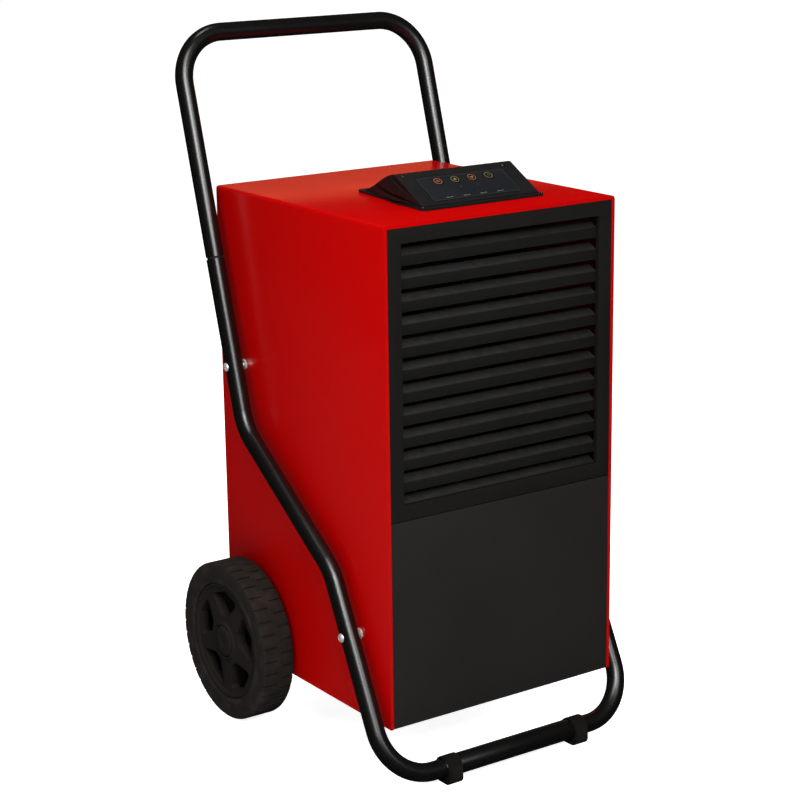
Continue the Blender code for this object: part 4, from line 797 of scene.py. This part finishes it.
def housing():
    """The moulded housing with its flange, the recess for the film, and the key holes."""
    body = round_edges(wedge("housing_shell", HOUSING_LOW.z), 2.2 * MM, 5, 22)
    rear_half = REAR_HALF + 5 * MM
    corners = [
        (HOUSING_LOW.x, HOUSING_LOW.y),
        (HOUSING_HIGH.x, HOUSING_LOW.y),
        (HOUSING_X + rear_half, HOUSING_HIGH.y),
        (HOUSING_X - rear_half, HOUSING_HIGH.y),
    ]
    outline = rounded_outline(corners, 7 * MM, 10)
    flange = plate("flange", [outline], HOUSING_LOW.z, HOUSING_LOW.z + 3 * MM)
    round_edges(flange, 1 * MM, 4, 60)
    boolean(body, [flange], "UNION")
    seat = slope_plate("seat", rectangle(72 * MM, 5.5 * MM, 57.5 * MM), 2.5 * MM, -1 * MM, 6 * MM)
    holes = []
    for i, x in enumerate(map(button_x, range(4))):
        ends = [on_slope(x, BUTTON_S, n * MM) for n in (-7, 7)]
        holes.append(bar(f"hole_{i}", HOLE_RADIUS, *ends, 48))
    boolean(body, [seat, *holes])
    round_edges(body, 0.3 * MM, 2, 50)
    dress(body, "black_plastic", "control_housing")


def overlay():
    """The film with its key holes, a thin printed border, and dashes where words would be."""
    holes = [circle(HOLE_RADIUS, (button_x(i), BUTTON_S), 48) for i in range(4)]
    outline = rectangle(71.5 * MM, 6 * MM, 57 * MM)
    film = slope_plate("overlay_film", outline, 2.2 * MM, -0.7 * MM, 0.3 * MM, holes)
    dress(film, "overlay_film", "control_overlay")
    outline = rectangle(69.5 * MM, 8 * MM, 55 * MM)
    inner = rounded_outline(rectangle(69.1 * MM, 8.4 * MM, 54.6 * MM), 1.4 * MM, 8)
    line = slope_plate("overlay_border", outline, 1.6 * MM, *PRINT, [inner])
    dress(line, "print_grey")
    dashes = []
    for i in range(4):
        centre = button_x(i) - 2 * MM
        for j, (start, end) in enumerate(((-5.5, 0.5), (1.5, 5))):
            left, right = centre + start * MM, centre + end * MM
            bottom = 10.6 * MM + 0.3 * MM * j
            top = bottom + 1.3 * MM
            span = [(left, bottom), (right, bottom), (right, top), (left, top)]
            dashes.append(slope_plate(f"dash_{i}_{j}", span, 0.3 * MM, *PRINT))
    dress(join("overlay_dashes", dashes), "print_pale")
    lens = in_mm([(0, 0.45), (0.7, 0.3), (1, 0), (0, 0)])
    dots = []
    for i in (1, 2):
        place = on_slope(button_x(i) + 0.5 * MM, 30 * MM, 0.25 * MM)
        dots.append(turned(f"dot_{i}", lens, place, OUTWARD, 20))
    dress(join("overlay_lamps", dots), "print_grey")


def glyph(index):
    """The outlines of the mark in each key's ring: power, drop, fan or clock."""
    if index == 0:
        start, sweep = radians(125), radians(290)
        outer, inner = (circle(r * MM, (0, 0), 20, start, sweep) for r in (2.3, 1.7))
        stem = in_mm([(-0.3, 0.4), (0.3, 0.4), (0.3, 3), (-0.3, 3)])
        return [outer + inner[::-1], stem]
    if index == 1:
        bulb = circle(1.9 * MM, (0, -0.7 * MM), 24, radians(150), radians(240))
        return [[(0, 3.2 * MM)] + bulb]
    if index == 2:
        reach, turns = 1.6 * MM, [tau * i / 3 + 0.5 for i in range(3)]
        return [circle(1.15 * MM, (reach * cos(t), reach * sin(t)), 16) for t in turns]
    hands = []
    for degrees, length in ((90, 3 * MM), (-25, 2.3 * MM)):
        angle = radians(degrees)
        along = Vector((cos(angle), sin(angle)))
        side, tip = Vector((-along.y, along.x)) * 0.3 * MM, along * length
        hands.append([tuple(side), tuple(-side), tuple(tip - side), tuple(tip + side)])
    return hands


def buttons():
    """Four low round keys, each with a printed ring and a plain mark."""
    crown, face = 0.95 * MM, 6.4 * MM
    profile = [(0, crown)] + dome(face, BUTTON_RADIUS - face, 0, crown, 8)
    profile += [(BUTTON_RADIUS, -3.2 * MM)] + in_mm([(9.2, -3.2), (9.2, -4.6), (0, -4.6)])
    inks = ("print_orange", "print_olive", "print_rust", "print_olive")
    for i, (name, ink) in enumerate(zip(BUTTONS, inks)):
        body, place = f"button_{name}", on_slope(button_x(i), BUTTON_S)
        key = turned(f"key_{name}", profile, place, OUTWARD, 64)
        dress(key, "button_film", body, body)
        printed = [[circle(6 * MM), circle(5.3 * MM)]] + [[outline] for outline in glyph(i)]
        printed = [plate("mark", outlines, 0.9 * MM, 1 * MM) for outlines in printed]
        mark = join(f"key_mark_{name}", printed)
        mark.matrix_world = Matrix.Translation(place) @ Matrix.Rotation(SLOPE, 4, "X")
        dress(mark, ink, body=body)


def housing_screws():
    screw_length, sunk = 7.7 * MM, 1.9 * MM
    for i, tilt in enumerate((SLOPE, SLOPE, 0, 0)):
        node = f"panel_screw_{i + 1}"
        low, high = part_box(node)
        aim = Vector((0, -sin(tilt), cos(tilt)))
        top = (low + high) / 2 + aim * (screw_length / 2 - sunk)
        screw = pan_screw(f"housing_screw_{i + 1}", top, aim, 2.3 * MM)
        dress(screw, "dull_steel", node)


def board():
    """The circuit board with a switch under each key."""
    carried("control_board", "circuit_board")
    profile = in_mm([(0, 3.2), (1.7, 3.2), (1.7, 1.8), (3, 1.8), (3, 0)])
    switches = []
    for i in range(4):
        place = on_slope(button_x(i), BUTTON_S, -10 * MM)
        switches.append(turned(f"switch_{i}", profile, place, OUTWARD, 16))
    dress(join("board_switches", switches), "black_plastic")


# ---- cart

CROSS_LOW, CROSS_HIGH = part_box("cross_tube")
TUBE_RADIUS = 12.7 * MM
TUBE_X = 203 * MM
FOOT_BAR = ((CROSS_LOW.y + CROSS_HIGH.y) / 2, (CROSS_LOW.z + CROSS_HIGH.z) / 2)
HANDLE_TOP = (MIDDLE + 271.6 * MM, 958 * MM)
HANDLE_JOINT_Z = 657 * MM
UPPER_BEND = (MIDDLE + 118.7 * MM, 428 * MM)
LOWER_BEND = (MIDDLE - 96.4 * MM, 280.3 * MM)
BEND_RADIUS = 70 * MM


def upper_leg_y(z):
    share = (z - UPPER_BEND[1]) / (HANDLE_TOP[1] - UPPER_BEND[1])
    return UPPER_BEND[0] + (HANDLE_TOP[0] - UPPER_BEND[0]) * share


def frame_tubes():
    for side, word in SIDES:
        x = side * TUBE_X
        corners = [
            (x, upper_leg_y(HANDLE_JOINT_Z), HANDLE_JOINT_Z),
            (x, *UPPER_BEND),
            (x, *LOWER_BEND),
            (x, *FOOT_BAR),
            (side * 80 * MM, *FOOT_BAR),
        ]
        foot_end = rounded_path(corners[2:], BEND_RADIUS, 20)[1:]
        path = rounded_path(corners[:4], BEND_RADIUS, 14)[:-1] + foot_end
        tube = pipe(f"frame_{word}", path, TUBE_RADIUS, 10)
        dress(tube, "tube_paint", f"side_tube_{word}")


def handle():
    """The U of the handle, with a necked and slightly swaged end in each side tube."""
    z = HANDLE_JOINT_Z + 3 * MM
    lean = atan2(HANDLE_TOP[0] - UPPER_BEND[0], HANDLE_TOP[1] - UPPER_BEND[1])
    corners = [
        (-TUBE_X, upper_leg_y(z), z),
        (-TUBE_X, *HANDLE_TOP),
        (TUBE_X, *HANDLE_TOP),
        (TUBE_X, upper_leg_y(z), z),
    ]
    grip = pipe("handle_bar", rounded_path(corners, BEND_RADIUS, 20), TUBE_RADIUS, 10)
    dress(grip, "tube_paint", "handle_tube")
    aim = (0, sin(lean), cos(lean))
    profile = in_mm([(12.3, 2), (11.2, -0.5), (11.2, -8), (0, -8)])
    necks = []
    for side in (-1, 1):
        place = (side * TUBE_X, upper_leg_y(z), z)
        necks.append(turned(f"neck_{side}", profile, place, aim, 48))
    dress(join("handle_necks", necks), "rubber")


def cross_bar():
    """The thick sleeve that joins the side tubes, with softened ends."""
    half, radius, bore = CROSS_HIGH.x, (CROSS_HIGH.z - CROSS_LOW.z) / 2, 13.1 * MM
    end = [(bore, 0), (radius - 0.8 * MM, 0), (radius - 0.2 * MM, 0.3 * MM), (radius, MM)]
    profile = [(r, half - z) for r, z in end] + [(r, z - half) for r, z in end[::-1]]
    tube = turned("cross_sleeve", profile, (0, *FOOT_BAR), (1, 0, 0), 64, ring=True)
    dress(tube, "tube_paint", "cross_tube")


def feet():
    """Rubber saddles round the cross tube, rounded down to a flat sole."""
    y, z = FOOT_BAR
    ring, sole_half, heel = 16 * MM, 8 * MM, 9 * MM
    for word in ("left", "right"):
        low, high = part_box(f"foot_{word}")
        outline = circle(ring, (y, z), 33, 0, pi)
        for side_y, start in ((-1, pi), (1, 1.5 * pi)):
            outline += circle(heel, (y + side_y * sole_half, heel), 12, start, pi / 2)
        bore = circle(14.6 * MM, (y, z), 48)
        saddle = plate(f"foot_saddle_{word}", [outline, bore], low.x, high.x, "YZ")
        round_edges(saddle, 3 * MM, 5, 30)
        dress(saddle, "rubber", f"foot_{word}")


def frame_fasteners():
    for side, word in SIDES:
        for level in ("upper", "lower"):
            button_bolt(f"bolt_{level}_{word}", f"frame_bolt_{level}_{word}", side)
            carried(f"frame_spacer_{level}_{word}", "bright_steel", 0.3)
    carried("axle", "bright_steel")


# ---- wheels

TREAD_BLOCKS = 38
TREAD_DEPTH = 2 * MM
TREAD_FROM = 107 * MM
TREAD_REACH = 20.6 * MM
GROOVE = ((0, False), (0.02, True), (0.15, True), (0.17, False), (0.36, False))


def tyre(name, place, side, width):
    """A solid tyre with two staggered rows of short grooves that run out at the shoulders."""
    radius = place.z
    bead = [(84.2, 0.8), (85, 0.2), (86, 0), (88.5, 0), (89, -0.5), (91.5, -0.5)]
    wall = [(92, 0), (110, 0), (111.6, 0.25), (112.8, 0.9), (113.6, 1.8)]
    tread = [(radius, z * MM) for z in (3.2, 20.5, 20.8, 22.4, 22.7)]
    half_profile = in_mm(bead + wall) + tread
    profile = half_profile + [(r, width - z) for r, z in half_profile[::-1]]
    rows = ((0, TREAD_REACH), (width - TREAD_REACH, width))
    bm = bmesh.new()
    rings = []
    for half_block in range(2 * TREAD_BLOCKS):
        low, high = rows[half_block % 2]
        for at, cut in GROOVE:
            angle = (half_block / 2 + at) * tau / TREAD_BLOCKS
            ring = []
            for r, z in profile:
                if cut and low <= z <= high and r > TREAD_FROM:
                    r = max(TREAD_FROM, r - TREAD_DEPTH)
                ring.append(bm.verts.new((r * cos(angle), r * sin(angle), z)))
            rings.append(ring)
    for ring, following in zip(rings, rings[1:] + rings[:1]):
        for i in range(len(profile)):
            j = (i + 1) % len(profile)
            bm.faces.new((ring[i], following[i], following[j], ring[j]))
    obj = from_bmesh(name, bm)
    obj.matrix_world = aimed(place, (side, 0, 0))
    return obj


def window(index):
    """One of the wheel's five rounded openings, wide along the rim."""
    middle = tau * index / 5
    inner, rim, crown = 37 * MM, 71.5 * MM, 74.3 * MM
    spokes = ((inner, -11), (rim, -29), (crown, 0), (rim, 29), (inner, 11))
    corners = []
    for radius, degrees in spokes:
        angle = middle + radians(degrees)
        corners.append((radius * cos(angle), radius * sin(angle)))
    outline = rounded_outline(corners, 5.5 * MM, 8)
    return plate(f"window_{index}", [outline], 21 * MM, 60 * MM)


def wheel(name, place, side):
    """The moulded wheel: rim, star, hub, and a disc behind that closes the dark hollow."""
    profile = [
        (83.6, 45.5), (83.6, 3), (79, 3), (78, 8), (26, 8), (25, 2),
        (10.6, 2), (10.6, 43), (23.6, 43), (23.6, 47.5), (24.2, 48), (25.6, 48),
        (26.4, 47.5), (27.6, 45.8), (29, 45.2), (34, 44.8), (70, 43.6), (74.6, 43.4),
        (76.4, 43.9), (79, 46), (80.4, 46.6), (82.4, 46.6), (83.2, 46.3),
    ]
    hollow = [(78.5, 31), (78.5, 11), (29, 11), (29, 31)]
    obj = turned(name, in_mm(profile), steps=120, ring=True)
    boolean(obj, [turned("hollow", in_mm(hollow), steps=120, ring=True)])
    boolean(obj, [window(i) for i in range(5)])
    round_edges(obj, 0.8 * MM, 3, 42)
    obj.matrix_world = aimed(place, (side, 0, 0))
    return obj


def hub_cap(name, place, side):
    profile = [
        (0, 48.7), (7, 48.7), (8, 48.9), (8.6, 49.5), (17, 49.4), (20.6, 48.6),
        (22.4, 47.2), (23, 45.6), (23, 43.4), (0, 43.4),
    ]
    return turned(name, in_mm(profile), place, (side, 0, 0), 64)


def wheels():
    for side, word in SIDES:
        low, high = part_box(f"tyre_{word}")
        centre = (low + high) / 2
        place = Vector((high.x if side < 0 else low.x, centre.y, centre.z))
        body = f"wheel_{word}"
        rubber_ring = tyre(f"tread_{word}", place, side, high.x - low.x)
        dress(rubber_ring, "tyre", f"tyre_{word}", body)
        star = wheel(f"star_{word}", place, side)
        dress(star, "wheel_plastic", body, body)
        cap = hub_cap(f"cap_{word}", place, side)
        dress(cap, "wheel_plastic", f"wheel_cap_{word}", body)


# ---- air path

def coil(node):
    """A coil's pack of thin fins between two end plates, in place of the solid block."""
    low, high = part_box(node)
    pitch, thick, end = 2.9 * MM, 0.35 * MM, 1.2 * MM
    count = int((high.x - low.x - 3 * MM) / pitch)
    spans = []
    for i in range(count):
        x = low.x + 2 * MM + i * pitch
        spans.append(((x, low.y, low.z), (x + thick, high.y, high.z)))
    dress(blocks(node + "_pack", spans), "aluminium", node)
    ends = [(low, (low.x + end, high.y, high.z)), ((high.x - end, low.y, low.z), high)]
    dress(blocks(node + "_ends", ends), "galvanised")


def smooth_tubes():
    """The coil tubes and pipes, drawn copper with a drifting tarnish."""
    tubes = ("evaporator_tube", "condenser_tube", "discharge_pipe", "suction_pipe")
    for name in (*tubes, "capillary_tube"):
        carried(name, "copper")


def fan_blades(radius):
    """Five swept and twisted blades, each thinned towards its edges."""
    bm = bmesh.new()
    root, thick, cells = 30 * MM, 1 * MM, 14
    for blade in range(5):
        layers = []
        for side in (1, -1):
            grid = {}
            for i in range(cells + 1):
                for j in range(cells + 1):
                    out, chord = i / cells, 2 * j / cells - 1
                    tip = 1 - 0.1 * (out > 0.5) * (chord * chord) * (2 * out - 1)
                    sweep = radians(10) * out * out
                    angle = chord * radians(27 - 5 * out) * 0.97 + sweep
                    angle += tau * blade / 5
                    r = root + (radius * 0.99 - root) * out * tip
                    height = (13 - 4 * out) * MM * chord * 0.95 + 2.5 * MM * (1 - chord * chord)
                    taper = 1 - 0.8 * max(abs(chord) ** 6, out ** 12)
                    height += side * thick * taper
                    grid[i, j] = bm.verts.new((r * cos(angle), r * sin(angle), height))
            layers.append(grid)
            for i in range(cells):
                for j in range(cells):
                    quad = (grid[i, j], grid[i + 1, j], grid[i + 1, j + 1], grid[i, j + 1])
                    bm.faces.new(quad)
        rim = [(i, 0) for i in range(cells)] + [(cells, j) for j in range(cells)]
        rim += [(cells - a, cells - b) for a, b in rim]
        front, back = layers
        for a, b in zip(rim, rim[1:] + rim[:1]):
            bm.faces.new((front[a], front[b], back[b], back[a]))
    return from_bmesh("fan_blades", bm)


def fan():
    """The fan's hub and blades, its shroud, and the motor behind it."""
    low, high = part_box("fan_wheel")
    motor_low, motor_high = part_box("fan_motor")
    axis_z = (motor_low.z + motor_high.z) / 2
    forwards = (0, -1, 0)
    centre = Vector((0, MIDDLE - 32 * MM, axis_z))
    hub_profile = [
        (0, 14), (18, 13.8), (27, 12.6), (32.5, 10), (35.2, 6.5), (36, 3),
        (36, -12), (4.6, -12), (4.6, 6), (0, 6),
    ]
    hub = turned("fan_hub", in_mm(hub_profile), centre, forwards, 64)
    dress(hub, "black_plastic", "fan_wheel", "fan")
    blades = fan_blades((high.x - low.x) / 2)
    blades.matrix_world = aimed(centre, forwards)
    dress(blades, "black_plastic", body="fan")
    carried("fan_shroud", "black_plastic", 0.4)
    motor_profile = [
        (0, 29), (4, 29), (4, 0), (37, 0), (40.5, -1), (42, -4),
        (42, -18), (40.8, -18.6), (40.8, -30), (42, -30.6), (42, -44),
        (40.5, -48), (36, -50), (0, -50),
    ]
    face = Vector((0, MIDDLE - 8 * MM, axis_z))
    motor = turned("motor_can", in_mm(motor_profile), face, forwards, 64)
    dress(motor, "galvanised", "fan_motor")


def filter_unit():
    """The cassette with thin ribs across its mesh."""
    carried("filter_cassette", "black_plastic", 0.6)
    low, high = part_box("filter_cassette")
    rows, side, half = 24, 14 * MM, 0.8 * MM
    spans = []
    for i in range(1, rows):
        z = low.z + (high.z - low.z) * i / rows
        near = (low.x + side, BACK - 8.5 * MM, z - half)
        spans.append((near, (high.x - side, BACK - 6 * MM, z + half)))
    dress(blocks("filter_ribs", spans), "black_plastic", body="filter")
    carried("filter_mesh", "filter_net")


# ---- cold side and water

def compressor():
    """The welded can with its seam and terminal cover, on its rubber mount."""
    carried("compressor", "black_paint")
    place = (40 * MM, MIDDLE - 95 * MM, 0)
    seam = [(73.2, 208.5), (73.8, 207), (73.8, 204.5), (73.2, 203), (71, 203), (71, 208.5)]
    band = turned("compressor_seam", in_mm(seam), place, steps=72, ring=True)
    dress(band, "black_paint")
    low = (20 * MM, MIDDLE - 176 * MM, 225 * MM)
    high = (60 * MM, MIDDLE - 160 * MM, 268 * MM)
    terminals = round_edges(block("terminal_cover", low, high), 3 * MM, 3)
    dress(terminals, "black_plastic")
    carried("compressor_mount", "rubber", 0.8)


def water():
    carried("water_tank", "tank_plastic", 0.5)
    carried("tank_float", "float", 0.6)
    carried("drain_hose", "rubber", 0.3)
    for name in ("drip_tray", "tank_shelf", "base_pan", "divider_shelf"):
        carried(name, "galvanised", 0.3)


# ---- mains cord

def cord():
    """The wound cord, its strain relief and the plug that hangs from it."""
    rest_low, rest_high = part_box("cord_rest")
    carried("cord_rest", "black_plastic", 0.5)
    middle = (rest_low.z + rest_high.z) / 2
    radius, post_x, exit_x, bend = 3.3 * MM, 95 * MM, 150 * MM, 9.1 * MM
    plug_low, plug_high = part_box("power_plug")
    plug = (plug_low + plug_high) / 2
    plug.z = plug_high.z
    first_y, half_turns, end_steps = BACK + 28.8 * MM, 5, 14
    corners = [
        (exit_x, BACK - 14 * MM, middle),
        (exit_x, first_y, middle),
        (128 * MM, first_y, middle + bend),
    ]
    path = rounded_path(corners, 9 * MM, 10)
    last = half_turns * (end_steps + 1) - 1
    for i in range(last + 1):
        side = 1 if (i // (end_steps + 1)) % 2 else -1
        turn = pi * (i % (end_steps + 1)) / end_steps - side * pi / 2
        x = side * post_x + bend * cos(turn)
        y = first_y + (plug.y - first_y) * i / last
        path.append(Vector((x, y, middle + bend * sin(turn))))
    drop = [path[-1], (plug.x, plug.y, middle - bend), (plug.x, plug.y, plug.z - 6 * MM)]
    path = path[:-1] + rounded_path(drop, 9 * MM, 10)
    wire = pipe("cord_wire", path, radius, 4)
    dress(wire, "cord", "power_cord")
    relief = [(4.2, 18), (5, 17)]
    for i in range(4):
        widening, down = 0.6 * i, 3 * i
        rib = [(5.4, 14.5), (6.2, 14), (6.2, 12.4), (5.2, 12)]
        relief += [(r + widening, z - down) for r, z in rib]
    relief += [(10, 2.6), (10.4, 2), (10.4, 0), (3.4, 0), (3.4, 18)]
    exit_place = (exit_x, BACK, middle)
    sleeve = turned("cord_relief", in_mm(relief), exit_place, (0, 1, 0), 40, ring=True)
    dress(sleeve, "cord")
    shape = [
        (0, -6), (3.7, -6), (3.7, 0), (5.6, 0), (6.6, -1), (7.4, -7), (8.8, -12),
        (12, -15.4), (14.2, -18.2), (15, -21), (15, -31), (14, -33), (0, -33),
    ]
    body = turned("plug_body", in_mm(shape), plug, (0, 0, 1), 48)
    dress(body, "cord", "power_plug")
    pin = in_mm([(0, 22), (2.4, 22), (2.4, 1.2), (1.4, 0.2), (0, 0)])
    pins = []
    for side in (-1, 1):
        start = plug + Vector((side * 9.5 * MM, 0, -52 * MM))
        pins.append(turned(f"pin_{side}", pin, start, (0, 0, 1), 24))
    dress(join("plug_pins", pins), "pin_brass")


# ---- stage

AMBIENT = 0.3
ROOM = 0.01
LIT_POINT = Vector((0, 0, 0.5))
# Name, azimuth, elevation, distance, size, radiance, what it lights, colour.
LAMPS = (
    ("front_soft", -24, 30, 2.8, (0.7, 0.95), 34, "diffuse"),
    ("front_window", -24, 30, 2.8, (0.7, 0.95), 75, "metal"),
    ("side_window", 6, 24, 2.8, (0.9, 1.4), 5.4, "metal"),
    ("key", -38, 52, 2, (0.9, 0.9), 6, "all"),
    ("left_fill", -95, 30, 2.6, (1.4, 1.4), 3.2, "diffuse"),
    ("overhead", 180, 72, 2.4, (1, 1), 7.4, "diffuse"),
    ("overhead_window", 180, 84, 2.4, (0.5, 0.5), 6, "all"),
    ("rear_fill", 165, 28, 2.6, (1.4, 1.4), 3.6, "diffuse"),
    ("right_fill", 85, 28, 2.6, (1.4, 1.4), 2.4, "diffuse"),
    ("back_card", 145.5, 11, 2.6, (2.8, 0.45), 0.92, "all", (1, 0.19, 0.085)),
)


def seen_by(nodes, links, ray, plain, special):
    """Shows one background to a kind of ray and another to all the rest."""
    path = nodes.new("ShaderNodeLightPath")
    mix = nodes.new("ShaderNodeMixShader")
    links.new(path.outputs[ray], mix.inputs["Fac"])
    links.new(plain, mix.inputs[1])
    links.new(special, mix.inputs[2])
    return mix.outputs["Shader"]


def white_world():
    """Camera rays see plain white, reflections a dim room, and the rest is soft light."""
    world = bpy.data.worlds.new("studio")
    SCENE.world = world
    world.use_nodes = True
    nodes, links = world.node_tree.nodes, world.node_tree.links
    shaders = []
    for grey in (AMBIENT, ROOM, 1):
        background = nodes.new("ShaderNodeBackground")
        background.inputs["Color"].default_value = (1, 1, 1, 1)
        background.inputs["Strength"].default_value = grey
        shaders.append(background.outputs["Background"])
    soft = seen_by(nodes, links, "Is Glossy Ray", *shaders[:2])
    whole = seen_by(nodes, links, "Is Camera Ray", soft, shaders[2])
    links.new(whole, nodes["World Output"].inputs["Surface"])


def bearing(azimuth, elevation):
    """The direction towards a viewer at these degrees from the machine's front."""
    turn, lift = radians(azimuth), radians(elevation)
    level = cos(lift)
    return Vector((sin(turn) * level, -cos(turn) * level, sin(lift)))


def area_light(name, azimuth, elevation, distance, size, radiance, lights, colour=WHITE):
    """A flat lamp that looks at the machine's middle, placed by its bearing from the front."""
    data = bpy.data.lights.new(name, "AREA")
    data.shape = "RECTANGLE"
    data.size, data.size_y = size
    data.energy = radiance * pi * size[0] * size[1]
    data.color = colour
    light = new(name, data)
    aim = bearing(azimuth, elevation)
    light.location = LIT_POINT + aim * distance
    light.rotation_mode = "QUATERNION"
    light.rotation_quaternion = (-aim).to_track_quat("-Z", "Y")
    light.visible_camera = False
    light.visible_glossy = lights != "diffuse"
    light.visible_diffuse = lights != "metal"
    if lights == "metal":
        shine_on_metal(light)


def shine_on_metal(light):
    """Keeps a lamp to the tubes and bolts, so that the flat paint stays free of glare."""
    metal = bpy.data.collections.new(light.name + "_metal")
    for obj in SCENE.objects:
        if obj.name.startswith(("frame_", "handle_", "cross_", "bolt_")):
            metal.objects.link(obj)
    light.light_linking.receiver_collection = metal


def floor():
    """A pale floor that meets the white surroundings and stays dark in reflections."""
    bm = bmesh.new()
    bmesh.ops.create_grid(bm, x_segments=1, y_segments=1, size=12)
    ground = from_bmesh("studio_floor", bm)
    look = Look("studio_floor", (0.86, 0.86, 0.86), 0.9, shine=0)
    look.tint(look.between(look.noise(2, 3), 0, 0.3), (0.88, 0.88, 0.88))
    ray = look.node("LightPath").outputs
    look.tint(ray["Is Glossy Ray"], (0.012, 0.012, 0.012))
    glow = look.between(ray["Is Camera Ray"], 0, 0.88, 0, 1)
    look.value("Emission Color", (1, 1, 1, 1))
    look.links.new(glow, look.shader.inputs["Emission Strength"])
    ground.data.materials.append(look.material)


def camera():
    data = bpy.data.cameras.new("photo_camera")
    data.sensor_width, data.lens = 36, 95.403
    data.clip_start, data.clip_end = 0.05, 50
    cam = new("photo_camera", data)
    back = bearing(-34.5327, 14.8875)
    roll = radians(-0.7843)
    right = (-back).cross(UP).normalized()
    above = back.cross(right)
    turned_right = right * cos(roll) + above * sin(roll)
    turned_up = above * cos(roll) - right * sin(roll)
    cam.rotation_mode = "QUATERNION"
    cam.rotation_quaternion = axes(turned_right, turned_up, back).to_quaternion()
    cam.location = (-1.63167, MIDDLE - 2.33757, 1.21869)
    SCENE.camera = cam


def studio():
    SCENE.view_settings.view_transform = "Standard"
    SCENE.view_settings.look = "None"
    white_world()
    floor()
    for lamp in LAMPS:
        area_light(*lamp)
    camera()


cover()
lower_panel()
louvres()
rear()
housing()
overlay()
buttons()
housing_screws()
board()
frame_tubes()
handle()
cross_bar()
feet()
frame_fasteners()
wheels()
coil("evaporator_fins")
coil("condenser_fins")
smooth_tubes()
fan()
filter_unit()
compressor()
water()
cord()
studio()
